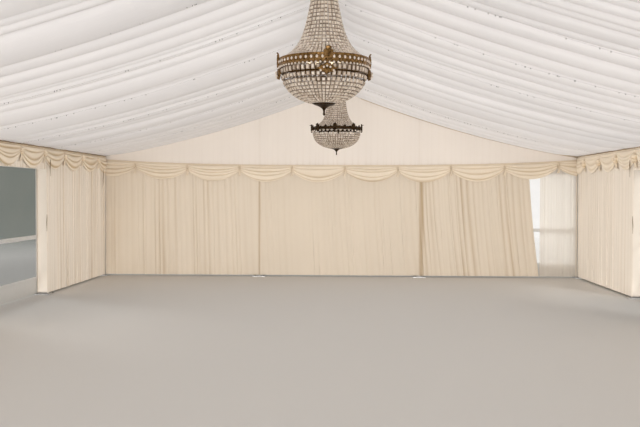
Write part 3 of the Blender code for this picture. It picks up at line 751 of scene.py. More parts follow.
def swags(name, wall, low, high, pitch, shift, top, node, seed, bunch, rests_on, relief=0.02, sag=0.0, under=0.075,
          shade=1.0):
    """A swagged pelmet. Each arc's height is the top less its share of the heading plus the belly, which is a
    parabola between two meeting points. Arcs are folds: the cloth stands in by the power of a sine."""
    draw = np.random.default_rng(seed)
    a = linspace(low, high, round((high - low) / pitch * STEPS_PER_SWAG) + 1)
    top = top - far_sag(a, sag)
    turn = (a - shift) / pitch
    number = np.floor(turn).astype(int)
    t = turn - number
    number = number - number.min()
    count = number.max() + 1
    belly = 4 * t * (1 - t)
    heading, w = linspace(0, 1, HEADING_ROWS)[:, None], linspace(0, 1, ARC_ROWS)[:, None]
    size = draw.uniform(0.9, 1.0, count)[number]
    lop = draw.uniform(-0.1, 0.1, count)[number]
    jitter = draw.normal(0, 0.5, (count, 2))[number]
    skewed = belly * (1 + lop * (2 * t - 1))
    z_band = top - BAND * heading
    z_arcs = top - BAND - w * (SWAG_HEADING - BAND + SWAG_BELLY * skewed * size)
    folds = draw.uniform(3.2, 4.6, count)[number]
    warp = draw.uniform(-1, 1, (count, 2))[number]
    phase = w**0.9 + 0.07 * warp[:, 0] * sin(2 * pi * w) + 0.045 * warp[:, 1] * sin(4 * pi * w)
    phase = folds * phase + 0.35 * belly * (jitter[:, 0] * sin(2 * pi * w) + jitter[:, 1] * sin(pi * w))
    strong = 0.45 + 0.55 * np.abs(sin(1.3 + 2.1 * np.floor(phase) + 3 * warp[:, 0]))
    ridges = np.abs(sin(pi * phase)) ** 0.6 * strong
    bulge = sin(pi * clip(0.08 + 0.9 * w**0.8, 0, 1)) * belly**0.5
    in_arcs = 0.003 + 0.016 * bulge + relief * ridges * (0.35 + 0.65 * belly**0.4) * clip((1 - w) / 0.04, 0, 1)
    in_band = 0.006 + 0.003 * sin(2 * pi * a / 0.045) * heading
    z, inwards = concatenate([z_band[:-1], z_arcs]), concatenate([in_band[:-1], in_arcs]) + PELMET_BACK
    meets = shift + pitch * np.arange(math.ceil((low - shift) / pitch), math.floor((high - shift) / pitch) + 1)
    bunches = gathers(f"{name}_gathers", wall, meets, np.interp(meets, a, top), draw, bunch, under)
    # Painted shade for the 'layers' attribute: thin dark lines between folds, darker towards the foot of each fold,
    # and darker near the meeting points
    down = phase - np.floor(phase)
    valleys = bump(down, 0, 0.1) + bump(down, 1, 0.2) + 0.3 * down**1.5
    painted_shade = valleys * (0.5 + 0.4 * belly) * (0.2 + 0.5 * strong) + 0.4 * exp(-belly / 0.12)
    # The heading's rows get painted shade too: a dark line along the top
    painted_shade = concatenate([np.array([[0.75], [0.25], [0.35]]) + 0 * a, clip(painted_shade, 0, 1)])
    hang(name, wall.place(a, inwards, z), SWAG_CLOTH, wall.towards, rests_on, [node],
         layers=clip(shade * painted_shade, 0, 1))


def ways(wall):
    """The unit vectors along a wall and in from it."""
    return [wall.place(*step) - wall.place(0, 0, 0) for step in ((1, 0, 0), (0, 1, 0))]


def gathers(name, wall, meets, top, draw, bunch, under):
    """A bunch of cloth where two swags meet: a dome whose rim and face ripple round it, and a short tail that
    widens downwards. Painted shade darkens the dome between the ripples, at its rim and on its lower half, and the
    tail between its lobes."""
    round_, out, steps = circle(32), linspace(0.06, 1, 9)[:, None], linspace(0, 1, 11)
    tail_lobes = cos(5 * circle(16))
    sideways, inward = ways(wall)
    parts, shades = [], []
    for at, high in zip(meets, top):
        lobes = draw.integers(5, 9)
        turn = draw.uniform(0, 6.28)
        wide, tall = bunch * draw.uniform(0.75, 1.15), (0.04 + 0.3 * bunch) * draw.uniform(0.8, 1.2)
        middle = high - under * draw.uniform(0.85, 1.2)
        wave = cos(lobes * round_ + turn + 1.5 * out)
        rim = out * (1 + 0.16 * wave * out)
        inwards = PELMET_BACK + 0.008 + (0.02 + 0.85 * bunch) * (1 - out**2) ** 0.5 * (0.75 + 0.25 * wave)
        dome = wall.place(at + wide * rim * cos(round_), inwards, middle + tall * rim * sin(round_))
        parts.append((dome.reshape(-1, 3), [grid_quads(9, 32, closed=True), np.arange(32)[None, :]]))
        # Painted shade: between the ripples, at the rim, and on the lower half of the dome more than the upper
        shade = 0.3 + 0.4 * clip(-wave, 0, 1) * out + 0.35 * out**6 - 0.25 * sin(round_) * out
        shades.append(clip(shade, 0, 1).ravel())
        path = wall.place(at + 0.012 * sin(4 * steps), PELMET_BACK + 0.02 - 0.008 * steps,
                          middle - 0.015 - 0.13 * steps)
        parts.append(lofted(path, sideways, inward, 0.012 + 0.6 * bunch * steps**0.8, 0.01 - 0.006 * steps, 16))
        shades.append(clip(0.4 + 0.45 * tail_lobes - 0.2 * steps[:, None], 0, 1).ravel())
    points, faces = joined(parts)
    uv = points[:, [1, 2]] if abs(sideways[1]) > 0 else points[:, [0, 2]]
    return add_piece(name, points, faces, SWAG_CLOTH, uv=uv, layers=concatenate(shades))


def cord_ends_and_shadow_slits():
    """Brown ends of the tie cords that hang from the knots beside the window bays and in the far left corner:
    tapered forms, a little bent, which also stand in for the shadow in the slits there."""
    steps = linspace(0, 1, 10)
    spots = [(side, end * at, top, long) for side, _ in SIDES for end in (-1, 1)
             for at, top, long in ((5.96, 2.08, 0.26), (5.78, 2.15, 0.06), (5.8, 1.24, 0.26))]
    parts = []
    for side, at, top, long in [*spots, ("left", 8.7, 2.0, 0.3)]:
        wall = WALLS[side]
        path = wall.place(at + 0.02 * steps + 0.004 * sin(9 * steps), 0.056 - 0.012 * steps, top - long * steps)
        wide = 0.004 + (0.008 if long > 0.1 else 0.016) * sin(pi * clip(steps * 1.1, 0, 1)) * (1 - steps) ** 0.5
        parts.append(lofted(path, *ways(wall), wide, 0.6 * wide, 8))
    points, faces = joined(parts)
    add_piece("tie_cord_ends", points, faces, BINDING_AND_SHADOW_CLOTH, uv=points[:, [1, 2]])


def pelmets():
    """Swags round all four walls, the brown binding along the top of the side ones, which also stands in for the
    shaded gap under the roof lining's edge, and the cords' ends, which also stand in for shaded slits.
    """
    y, rows = linspace(-PELMET_END, PELMET_END, 500), linspace(-1, 1, 5)[:, None]
    up = BINDING_UP + BINDING_HALF * rows + 0.002 * sin(2 * pi * y / 0.33) + 0.0015 * sin(2 * pi * y / 0.13)
    for side, seed, bunch, relief, under, shade in (("left", 99, 0.05, 0.024, 0.09, 1.7),
                                                    ("right", 101, 0.075, 0.017, 0.16, 0.6)):
        wall = WALLS[side]
        swags(f"swag_pelmet_{side}", wall, -PELMET_END, PELMET_END, SIDE_SWAG, SIDE_SWAG_SHIFT, PELMET_TOP,
              f"pelmet_{side}", seed, bunch, FRAMES, relief, under=under, shade=shade)
        # The binding is brown cloth and also a dark line painted where the roof lining's edge leaves a shaded gap
        strip(f"lining_binding_{side}", wall.place(y, BINDING_IN + 0.003 * (1 - rows**2), up), BINDING_AND_SHADOW_CLOTH,
              wall.towards)
    for label, seed, sag in (("near", 109, 0.0), ("far", 111, FAR_SAG)):
        wall = WALLS[label]
        swags(f"swag_pelmet_{label}", wall, -LINING_EDGE + 0.001, LINING_EDGE - 0.001, GABLE_SWAG, GABLE_SWAG_SHIFT,
              GABLE_PELMET_TOP, f"pelmet_{label}", seed, 0.022, wall.carried[-1:], sag=sag)
    cord_ends_and_shadow_slits()


# ---------------------------------------------------------------- chandeliers

# Each lamp's place, its profile's sizes in metres, and what its parts are like. A row of drops is its head and
# foot below the ring, and a band of round crystals is its count, their sizes and their height from the ring's top
Lamp = namedtuple("Lamp", "y ring hang flare taper tent bowl stem pitch dark drops rows bands ring_deep finish "
                          "hoop wire cup bulb_rise")
FLARE_RISE = 0.094
ORNAMENT_TURN = math.radians(-90 + 7)
END_TURN = math.radians(-90 - 2.5)
RING_THICK, RING_DEEP, CROWN = 0.016, 0.075, 0.085
END_LAMP = dict(
    ring=0.373, hang=0.968, flare=0.189, taper=0.078, tent=0.596, bowl=0.244, stem=0.096, pitch=0.031, dark=0.36,
    drops=44, rows=((0.004, 0.05),), bands=((36, (0.008, 0.02, 0.0115), 0.017 - RING_DEEP),),
    ring_deep=0.5 * RING_DEEP, finish=DARK_BRONZE, hoop=0.0024, wire=0.0019, bulb_rise=0.035,
    cup=((0.128, 0.019), (0.126, 0.011), (0.1, 0.004), (0.078, 0.0), (0.077, -0.003), (0.062, -0.004),
         (0.046, -0.0106), (0.03, -0.021)),
)
CENTRE_LAMP = dict(
    ring=0.362, hang=0.894, flare=0.158, taper=0.173, tent=0.582, bowl=0.284, stem=0.091, pitch=0.033, dark=0.4,
    drops=52, rows=((0.004, 0.052), (0.062, 0.1), (0.106, 0.144)),
    bands=((52, (0.006, 0.0105, 0.0125), -0.033), (66, (0.0065, 0.0095, 0.009), -0.001 - RING_DEEP)),
    ring_deep=RING_DEEP, finish=BRONZE, hoop=0.001, wire=0.0015, bulb_rise=-0.01,
    cup=((0.092, 0.009), (0.09, 0.002), (0.076, -0.004), (0.056, -0.0106), (0.035, -0.021)),
)
LAMPS = {"near": Lamp(-6.0, **END_LAMP), "centre": Lamp(0.0, **CENTRE_LAMP), "far": Lamp(6.0, **END_LAMP)}
STRANDS = 56
TENT_ZONES = ((0.21, 1.0, STRANDS), (0.145, 0.21, 40), (0.0, 0.145, 26))
BOWL_ZONES = ((0.2, 1.0, STRANDS), (0.1, 0.2, 40), (0.03, 0.1, 24))
STRAND_TURN = 0.02
BEAD_IN, BEAD_HALF, BEAD_DEEP, BEAD_LONG = 0.003, 0.0175, 0.0055, 0.43
BULB_CIRCLE, BULB_SIZE = 0.12, (0.014, 0.014, 0.03)
LEAF_BEADS = np.array([-0.13, -0.065, 0.0, 0.065, 0.13])  # angles of the round crystals under an ornament


def bead_shape():
    """A cut bead: a small front face and a small back face about a wide belt, ten faces in all."""
    square = np.array([[-1, -1], [1, -1], [1, 1], [-1, 1]], dtype=float)
    layers = [np.column_stack([square * size, np.full(4, z)]) for size, z in ((0.62, 1), (1.0, 0), (0.62, -1))]
    sides = [[first + 4 + k, first + 4 + (k + 1) % 4, first + (k + 1) % 4, first + k]
             for first in (0, 4) for k in range(4)]
    return concatenate(layers), [np.array([[0, 1, 2, 3], *sides, [11, 10, 9, 8]])]


def bead_tones(count, draw, dark):
    """Painted light and shade for every facet: a painted highlight on the front one, painted shade on the bevels, and
    the back one between.
    """
    tone = draw.uniform(dark, 0.45 + dark, (count, 10))
    tone[:, 0] = draw.uniform(0.7, 1.0, count)
    tone[:, 9] = draw.uniform(0.3, 0.8, count)
    return tone.ravel()


def running(radius, height):
    """Running length along a profile."""
    return concatenate([[0], np.cumsum(np.hypot(np.diff(radius), np.diff(height)))])


def strand_beads(radius, height, y, zones, pitch, long=BEAD_LONG):
    """Beads along strands just inside a profile. They are a pitch apart along it, each turned to the
    profile's slope, and each zone of radius has its own number of strands."""
    radius = radius - BEAD_IN
    run = running(radius, height)
    at = np.arange(pitch / 2, run[-1], pitch)
    r, z = np.interp(at, run, radius), np.interp(at, run, height)
    slope = unit(xyz(*(np.interp(at, run, np.gradient(values, run)) for values in (radius, height))))
    origins, axes = [], []
    for low, high, count in zones:
        use = (r >= low) & (r < high)
        angle = STRAND_TURN + circle(count)
        c, s = cos(angle), sin(angle)
        rr, zz, out, up = (values[use][:, None] for values in (r, z, slope[:, 0], slope[:, 1]))
        wide = np.minimum(BEAD_HALF, 0.45 * 2 * pi * rr / count)
        origins.append(about(y, rr, angle, zz).reshape(-1, 3))
        around = xyz(-s * wide, c * wide, 0.0)
        along = xyz(out * c, out * s, up) * pitch * long
        front = unit(np.cross(around, along)) * BEAD_DEEP
        turn = np.where(front[..., :1] * c[:, None] + front[..., 1:2] * s[:, None] < 0, -1, 1)
        axes.append(stack([around * turn, along, front * turn], axis=-2).reshape(-1, 3, 3))
    return concatenate(origins), concatenate(axes)


def beads(name, strung, draw, replaced, dark, extra=()):
    """One piece of many beads, with any extra ((points, faces), tone) joined to it."""
    origins, axes = strung
    tones = [bead_tones(len(origins), draw, dark), *(tone for _, tone in extra)]
    points, faces = joined([copies(*bead_shape(), origins, axes), *(part for part, _ in extra)])
    add_piece(name, points, faces, CRYSTAL, replaced, tone=concatenate(tones), soft=False)


def round_copies(count, radius, z, y, size, start=0.0):
    """Ball-like crystals spaced round a circle: origins on it, and axes out, round and up."""
    angle = start + circle(count)
    c, s = cos(angle), sin(angle)
    axes = stack([xyz(c, s, 0), xyz(-s, c, 0), xyz(0 * c, 0, 1)], axis=1)
    return copies(*ball(), about(y, radius, angle, z), axes * np.array(size)[:, None])


def counted(part):
    """How many faces a part has."""
    return sum(len(some) for some in part[1])


def plaque(ring, y, turn, z, wide, tall, relief):
    """A cast ornament on the ring: a diamond with scalloped sides, domed, with ribs that fan from its middle."""
    round_, out = circle(48), linspace(0.05, 1, 9)[:, None]
    diamond = 1 / (np.abs(cos(round_)) ** 1.3 + np.abs(sin(round_)) ** 1.3) ** (1 / 1.3)
    rim = out * diamond * (1 + 0.09 * cos(8 * round_))
    ribs = 0.5 * cos(12 * round_) * out * (1 - out)
    height = relief * ((1 - out**2) ** 0.5 * 0.6 + ribs + 0.25 * bump(out, 0.82, 0.1))
    r = ring + concatenate([height, height[-1:] * 0 - 0.002])
    across, up = wide * rim * cos(round_), tall * rim * sin(round_)
    across, up = concatenate([across, across[-1:]]), concatenate([up, up[-1:]])
    points = about(y, r, turn + across / ring, z + up).reshape(-1, 3)
    quads, cap = grid_quads(10, 48, closed=True), np.arange(48)[None, ::-1]
    if (quad_normals(points, quads) * (points[quads].mean(axis=1) - (0, y, z))).sum() < 0:
        quads, cap = quads[:, ::-1], cap[:, ::-1]
    return points, [quads, cap]


def leaf(ring, y, turn, z, wide, tall, reach):
    """A cast leaf that rises from the ring and curls outwards, as a lofted form with a pointed tip."""
    s = linspace(0, 1, 14)
    out = ring + 0.002 + reach * s**1.8
    up = z - 0.35 * tall + tall * sin(0.62 * pi * s)
    path = about(y, out, turn, up)
    across = np.array([-math.sin(turn), math.cos(turn), 0.0])
    thick = unit(np.cross(across, np.gradient(path, axis=0)))
    width = wide * (0.25 + 0.75 * sin(pi * clip(s * 0.85 + 0.12, 0, 1))) * (1 - 0.9 * s**6) * (1 + 0.1 * cos(22 * s))
    return lofted(path, across, thick, width, 0.007 * (1 - 0.8 * s**3), 12)


def hoop(radius, z, y, thick=0.0022):
    """A thin round hoop: a small circle spun about the lamp's line."""
    turn = circle(6)
    return turned(stack([radius + thick * cos(turn), z - thick * sin(turn)], axis=1), y, 64, closed=True)


def strand_wires(radius, height, y, thick):
    """Thin dark wires between the strands, each along the profile on a half turn between two strands.
    They stand for the frame, and being dark they also paint shade into the gaps between the strands.
    """
    use = linspace(0, len(radius) - 1, 22).astype(int)
    r, z = np.maximum(radius[use], 0.03), height[use]
    for turn in STRAND_TURN + circle(STRANDS) + pi / STRANDS:
        path = about(y, r, turn, z)
        across = np.array([-sin(turn), cos(turn), 0.0])
        yield lofted(path, across, unit(np.cross(across, np.gradient(path, axis=0))), thick, thick, 4)


def drops(lamp, profile, low, rows, draw):
    """Rows of long cut drops under the ring: beads as tall as their row, each with a painted highlight on its front
    facet.
    """
    for top, foot in rows:
        use = (profile[1] <= low - top) & (profile[1] >= low - foot)
        origins, axes = strand_beads(profile[0][use], profile[1][use], lamp.y, ((0.0, 1.0, lamp.drops),),
                                     foot - top - 0.002, 0.47)
        tone = bead_tones(len(origins), draw, 0.25)
        tone[::10] = draw.uniform(0.6, 1.0, len(origins))
        yield copies(*bead_shape(), origins, axes * np.array([0.9, 1.0, 1.3])[:, None]), tone


def ring_castings(lamp, high, low, large):
    """The ring, a band with a bead at its top, foot and middle, and the ornaments on it."""
    u, y, ring = linspace(0, 1, 25), lamp.y, lamp.ring
    outer = ring - 0.0035 + 0.0035 * (bump(u, 0.06, 0.05) + bump(u, 0.94, 0.05)) + 0.002 * bump(u, 0.5, 0.12)
    inside, foot = ring - RING_THICK, high - lamp.ring_deep
    yield turned([*zip(outer, high - lamp.ring_deep * u), (inside, foot), (inside, high)], y, 96, closed=True)
    if large:
        for turn in ORNAMENT_TURN + circle(4):
            yield plaque(ring + 0.002, y, turn, high - 0.022, 0.04, 0.052, 0.022)
            yield leaf(ring, y, turn, high + 0.02, 0.024, 0.036, 0.018)
            yield leaf(ring, y, turn - 0.07, high, 0.014, 0.024, 0.01)
            yield leaf(ring, y, turn + 0.07, high, 0.014, 0.024, 0.01)
            yield plaque(ring - 0.006, y, turn - 0.03, low - 0.048, 0.078, 0.042, 0.03)
        for turn in circle(52) + pi / 52:
            yield round_copies(1, ring - 0.001, high - 0.033, y, (0.006, 0.006, 0.015), turn)
        return
    for turn in END_TURN + circle(8):
        yield plaque(ring, y, turn, high - 0.012, 0.042, 0.062, 0.03)
        yield leaf(ring, y, turn, high - 0.003, 0.027, 0.062, 0.038)
        yield plaque(ring, y, turn + pi / 8, high - 0.014, 0.032, 0.042, 0.02)
        for way in (-1, 1):
            yield leaf(ring, y, turn + way * 0.17, high - 0.012, 0.018, 0.026, 0.01)


def chandelier(label, lamp, seed):
    """One chandelier: strands of beads in a flared tent, a cast ring with ornaments and round crystals, drops
    under the ring, a bowl of strands, and a turned finial. The strands turn in above the ring by the flare
    times one less an exponential, plus the taper times the height."""
    draw = np.random.default_rng(seed)
    y, ring, node, large = lamp.y, lamp.ring, f"chandelier_{label}", label == "centre"
    high = RIDGE_UNDER - lamp.hang
    low = high - RING_DEEP
    h = lamp.tent * linspace(0, 1, 400) ** 2
    tent_r = np.maximum(ring - RING_THICK - lamp.flare * (1 - exp(-h / FLARE_RISE)) - lamp.taper * h, CROWN)
    tent_z = high - 0.004 + h
    beads(f"{node}_tent_beads", strand_beads(tent_r, tent_z, y, TENT_ZONES, lamp.pitch), draw, [f"{node}_strands"],
          lamp.dark + 0.05)

    t = sin(pi / 2 * linspace(0, 1, 600))
    bowl_r = (ring - RING_THICK) * np.sqrt(np.maximum(1 - t**2.4, 0))
    bowl_z = low - lamp.bowl * t
    start = np.searchsorted(-bowl_z, lamp.rows[-1][1] - 0.006 - low)
    net = bowl_r[start:], bowl_z[start:]
    extra = [*drops(lamp, (bowl_r, bowl_z), low, lamp.rows, draw)]
    for count, size, z in lamp.bands:
        part = round_copies(count, ring + 0.002, high + z, y, size)
        # The round crystals get pale tones: painted highlights
        extra.append((part, draw.uniform(0.7, 1.0, counted(part))))
    if large:
        for turn in ORNAMENT_TURN + circle(4) - 0.03:
            origins = about(y, ring + 0.02, turn + LEAF_BEADS, low - 0.034 - 2 * LEAF_BEADS**2)
            part = copies(*ball(), origins, 0.009 * np.eye(3))
            # Pale tones here too: painted highlights on the crystals under the ornaments
            extra.append((part, draw.uniform(0.75, 1.0, counted(part))))
    beads(f"{node}_bowl_beads", strand_beads(*net, y, BOWL_ZONES, lamp.pitch), draw, [f"{node}_bowl"], lamp.dark,
          extra)
    add_piece(f"{node}_cast_ring", *joined(ring_castings(lamp, high, low, large)), lamp.finish, [f"{node}_ring"])

    foot = low - lamp.bowl
    tip = foot - lamp.stem
    cup = [*((r, foot + z) for r, z in lamp.cup), (0.018, foot - 0.032), (0.0095, foot - 0.046), (0.008, foot - 0.06),
           (0.008, tip + 0.022), (0.0105, tip + 0.014), (0.009, tip + 0.007), (0.0015, tip + 0.0005)]
    rod, crown, edge = RIDGE_UNDER - 2 * FIT, high + lamp.tent + 0.001, tent_r[-1]
    cap = [(0.0035, rod), (0.006, rod - 0.004), (0.006, crown + 0.045), (0.02, crown + 0.04), (0.03, crown + 0.03),
           (0.055, crown + 0.026), (edge - 0.006, crown + 0.02), (edge, crown + 0.008), (edge - 0.002, crown),
           (0.02, crown - 0.002)]
    parts = [turned(profile, y, 40, foot=True, top=True) for profile in (cup, cap)]
    for r, z in ((tent_r, tent_z), net):
        run = running(r, z)
        at = np.arange(0, run[-1], lamp.pitch)
        hoops = zip(np.interp(at, run, r - 0.005), np.interp(at, run, z))
        parts += [hoop(*spot, y, lamp.hoop) for spot in hoops if spot[0] > 0.07]
    for _, foot in lamp.rows:
        k = np.argmin(np.abs(bowl_z - (low - foot - 0.004)))
        parts.append(hoop(bowl_r[k] - 0.006, bowl_z[k], y, 0.002 if large else 0.0022))
    for r, z in ((tent_r, tent_z), net):
        parts += strand_wires(r - 0.006, z, y, lamp.wire)
    add_piece(f"{node}_hoops_and_finial", *joined(parts), DARK_BRONZE)
    origins = about(y, BULB_CIRCLE, circle(6), high + lamp.bulb_rise)
    add_piece(f"{node}_bulbs", *copies(*ball(8, 10), origins, np.diag(BULB_SIZE)), BULB)


# ---------------------------------------------------------------- fairy lights

WIRE_PLACES = (-7.2, -5.85, -4.5, -3.0, -1.5, 0.0, 1.5, 3.0, 4.5, 5.85, 7.2)
WIRE_HALF, WIRE_STEPS, WIRE_THICK, WIRE_DROP = 4.36, 160, 0.0005, 0.042
BULBS_A_WIRE, BULBS_HALF, SMALL_BULB = 44, 4.3, (0.0035, 0.0035, 0.0075)


def fairy_lights():
    """Wires from eave to eave under the roof lining, about every metre and a half, with small bulbs: each wire
    is a thin round tube that follows the lining's underside with a slight wander."""
    draw = np.random.default_rng(7)
    x, side = linspace(-WIRE_HALF, WIRE_HALF, WIRE_STEPS), np.array([0.0, 1.0, 0.0])
    wires, bulbs = [], []
    for y in WIRE_PLACES:
        wander = y + 0.012 * sin(x * 3.1 + y) + 0.006 * sin(x * 11 + 2 * y)
        path = xyz(x, wander, lining_under(x) - WIRE_DROP - 0.008 * np.abs(sin(x * 2.2 + y)))
        wires.append(lofted(path, side, unit(np.cross(np.gradient(path, axis=0), side)), WIRE_THICK, WIRE_THICK, 5))
        at = np.sort(draw.uniform(-BULBS_HALF, BULBS_HALF, BULBS_A_WIRE))
        bulbs.append(xyz(*(np.interp(at, x, line) for line in path.T)) - (0, 0, 0.006))
    add_piece("fairy_light_wires", *joined(wires), WIRE)
    bulb = copies(*ball(5, 6), concatenate(bulbs), np.diag(SMALL_BULB))
    add_piece("fairy_light_bulbs", *bulb, (WIRE[0], "crystal"))


# ---------------------------------------------------------------- outside

WAVE = 0.43
COVER_LIFT = (FIT + SHEET / 2) / math.cos(PITCH)
COVER_SAG, BELLY = 0.012, 0.002
SEAM_HALF, SEAM_RISE = 0.028, 0.0035
GABLE_ROW_TOP = 3.7  # the height that a gable wall's topmost row is taken for
BOLT_OUT, PLATE = 0.09, 0.012  # from a base plate's middle to its bolts, and its thickness


def across_tent(out, foot_rows, slope_rows, top_of_foot):
    """A line over the tent: up one valance, over both slopes and down the other, as columns of x and z."""
    slope_x = linspace(out, 0, slope_rows)
    x = concatenate([np.full(foot_rows, out), slope_x])
    z = concatenate([linspace(VALANCE_FOOT, top_of_foot, foot_rows + 1)[:-1], roof_line(slope_x) + COVER_LIFT])
    return concatenate([x, -x[-2::-1]])[:, None], concatenate([z, z[-2::-1]])[:, None]


def cover_section(number):
    """A bay of the roof cover, from valance to valance. Between frames it sags by the product of two sines, and
    the valance hangs in shallow waves."""
    start = -COVER_END if number == 1 else PORTALS[number - 1] + FIT
    end = COVER_END if number == BAYS else PORTALS[number] - FIT
    x, z = across_tent(VALANCE_AT, 8, 26, roof_line(VALANCE_AT) + COVER_LIFT)
    y = linspace(start, end, 31)
    on_slope = sin(pi * clip(1 - np.abs(x) / VALANCE_AT, 0, 1)) ** 0.7
    sag = COVER_SAG * sin(pi * (y - start) / (end - start)) * on_slope
    hanging = clip((roof_line(VALANCE_AT) - z) / 0.2, 0, 1) * (np.abs(x) > VALANCE_AT - 0.001)
    wave = 0.0035 * hanging * sin(2 * pi * y / WAVE + number)
    hang(f"roof_cover_{number}", xyz(x + np.sign(x) * wave, y, z - sag), COVER, (0, 0, 1),
         [*FRAMES[number - 1:number + 1], "eave_rail_left", "eave_rail_right"],
         [f"roof_section_{number}"])


def cover_seams():
    """Welded strips over the frames and along the valance's foot, raised a little over the cover."""
    across = linspace(-1, 1, 7)
    rise = SEAM_RISE * (1 - across**4)
    x, z = across_tent(VALANCE_AT + 0.003, 5, 20, roof_line(VALANCE_AT))
    for number, y in enumerate(PORTALS, 1):
        centre = y if abs(y) < HALF_LENGTH else math.copysign(COVER_END - 0.03, y)
        out = x + np.sign(x) * rise * (np.abs(x) > VALANCE_AT)
        strip(f"cover_seam_{number}", xyz(out, centre + SEAM_HALF * across, z + rise + 0.001), COVER, (0, 0, 1))
    y, rows = linspace(-COVER_END + 0.002, COVER_END - 0.002, 300), linspace(-1, 1, 5)[:, None]
    out = VALANCE_AT + 0.004 + 0.0022 * (1 - rows**4) + 0.003 * sin(2 * pi * y / WAVE + np.floor(y / BAY))
    for side, sign in SIDES:
        strip(f"valance_hem_{side}", xyz(sign * out, y, VALANCE_FOOT + 0.014 + 0.012 * rows), COVER, (sign, 0, 0))


def filled(low, high, step, marks):
    """Places from low to high about a step apart, with each mark among them."""
    stops = sorted({low, high, *(m for m in marks if low < m < high)})
    runs = [linspace(a, b, max(2, round((b - a) / step) + 1))[:-1] for a, b in zip(stops, stops[1:])]
    return concatenate(runs + [[high]])


def inside_any(values, spans):
    """True for each gap between neighbours whose middle is in one of the spans."""
    middle = (values[:-1] + values[1:]) / 2
    return np.any([(middle > a) & (middle < b) for a, b in spans], axis=0)


def cut_out(rows, columns, high, wide):
    """The faces that stay when openings are cut: all but those between the heights and within the widths."""
    return ~(inside_any(rows, [high])[:, None] & inside_any(columns, wide)[None, :])


def side_wall(side, sign):
    """A side wall: one sheet with its windows cut out, drawn taut between the frames with a shallow belly
    in every bay and small puckers along its top."""
    edge = GABLE_MIDDLE + 0.002
    y = filled(-edge, edge, 0.12, [*(m for span in SIDE_WINDOWS for m in span), *PORTALS])
    z = filled(HEM, WALL_TOP, 0.13, [SILL, WINDOW_HEAD])
    up = z[:, None]
    belly = BELLY * np.abs(sin(pi * y / BAY)) * sin(pi * clip(up / WALL_TOP, 0, 1))
    pucker = 0.0015 * exp(-(WALL_TOP - up) / 0.1) * sin(2 * pi * y / 0.25)
    hang(f"coated_wall_{side}", xyz(sign * (WALL_MIDDLE + belly + pucker), y, up), COVER, (sign, 0, 0),
         [f"eave_rail_{side}"], [f"side_wall_{side}"], cut_out(z, y, (SILL, WINDOW_HEAD), SIDE_WINDOWS))


def gable_wall(label, sign):
    """A gable wall with its windows cut out, and the doorway in the near one: rows are level up to the door's
    head, and above it they run to the roof line."""
    x = filled(-WALL_EDGE, WALL_EDGE, 0.12, [*(s * m for m in (*GABLE_WINDOW, DOOR_HALF) for s in (-1, 1)), 0.0])
    level = filled(HEM, DOOR_HEAD, 0.13, [SILL, WINDOW_HEAD])
    rise = linspace(0, 1, 11)[1:, None]
    z = concatenate([level[:, None] + 0 * x, DOOR_HEAD + (roof_line(x) - 2 * FIT - DOOR_HEAD) * rise])
    rows = np.append(level, linspace(DOOR_HEAD, GABLE_ROW_TOP, 11)[1:])
    keep = cut_out(rows, np.abs(x), (SILL, WINDOW_HEAD), [GABLE_WINDOW])
    if sign < 0:
        keep &= cut_out(rows, x, (0, DOOR_HEAD), [(-DOOR_HALF, DOOR_HALF)])
    belly = BELLY * np.abs(sin(pi * x / BAY)) * sin(pi * clip(z / GABLE_ROW_TOP, 0, 1))
    hang(f"coated_gable_{label}", xyz(x, sign * (GABLE_MIDDLE + belly), z), COVER, (0, sign, 0),
         [FRAMES[-1 if sign > 0 else 0], f"gable_post_{label}_left"], [f"gable_wall_{label}"], keep)


def window(name, place, towards, low, high, wall):
    """A clear window: a sheet in long shallow ripples, and on its inside a welded border and a crossing band.
    place(along, out from the wall's inner face, up) puts a point into the tent's frame."""
    lap, edge = PANE_LAP, BORDER
    a, z = linspace(low - lap, high + lap, 60), linspace(SILL - lap, WINDOW_HEAD + lap, 40)[:, None]
    rim = np.minimum(np.minimum(a - a.min(), a.max() - a), np.minimum(z - z.min(), z.max() - z))
    ripple = 0.0014 * clip(rim / 0.2, 0, 1) * (sin(5.1 * a + 1.3 * z + low) * 0.6 + sin(2.3 * z - 3.7 * a) * 0.4)
    parts = []
    for a0, a1, z0, z1, deep in (
        (low - lap, high + lap, WINDOW_HEAD - edge, WINDOW_HEAD + lap, BORDER_DEEP),
        (low - lap, high + lap, SILL - lap, SILL + edge, BORDER_DEEP),
        (low - lap, low + edge, SILL + edge, WINDOW_HEAD - edge, BORDER_DEEP),
        (high - edge, high + lap, SILL + edge, WINDOW_HEAD - edge, BORDER_DEEP),
        (low + edge, high - edge, BAR_LOW, BAR_HIGH, BAR_DEEP),
    ):
        s, t = (linspace(start, end, 24 if end - start > 1 else 5) for start, end in ((a0, a1), (z0, z1)))
        t = t[:, None]
        inner = np.minimum(np.minimum(s - a0, a1 - s), np.minimum(t - z0, z1 - t))
        flat, quads = facing(place(s, -deep - 0.0012 * clip(inner / 0.006, 0, 1), t), towards)
        parts.append((flat, [quads]))
    border = add_piece(f"{name}_border", *joined(parts), COVER)
    hang(f"clear_{name}", place(a, -PANE_AT + ripple, z), CLEAR, towards, [wall], [name])


def windows():
    """All eight windows."""
    for side, sign in SIDES:
        for bay, (low, high) in zip((2, 5), SIDE_WINDOWS):
            window(f"window_{side}_{bay}", lambda a, out, z: xyz(sign * (WALL_EDGE + FIT + out), a, z),
                   (-sign, 0, 0), low, high, f"coated_wall_{side}")
    for label, end in ENDS:
        for side, way in SIDES:
            window(f"window_{label}_{side}", lambda a, out, z: xyz(way * a, end * (GABLE_INNER + out), z),
                   (0, -end, 0), *GABLE_WINDOW, f"coated_gable_{label}")


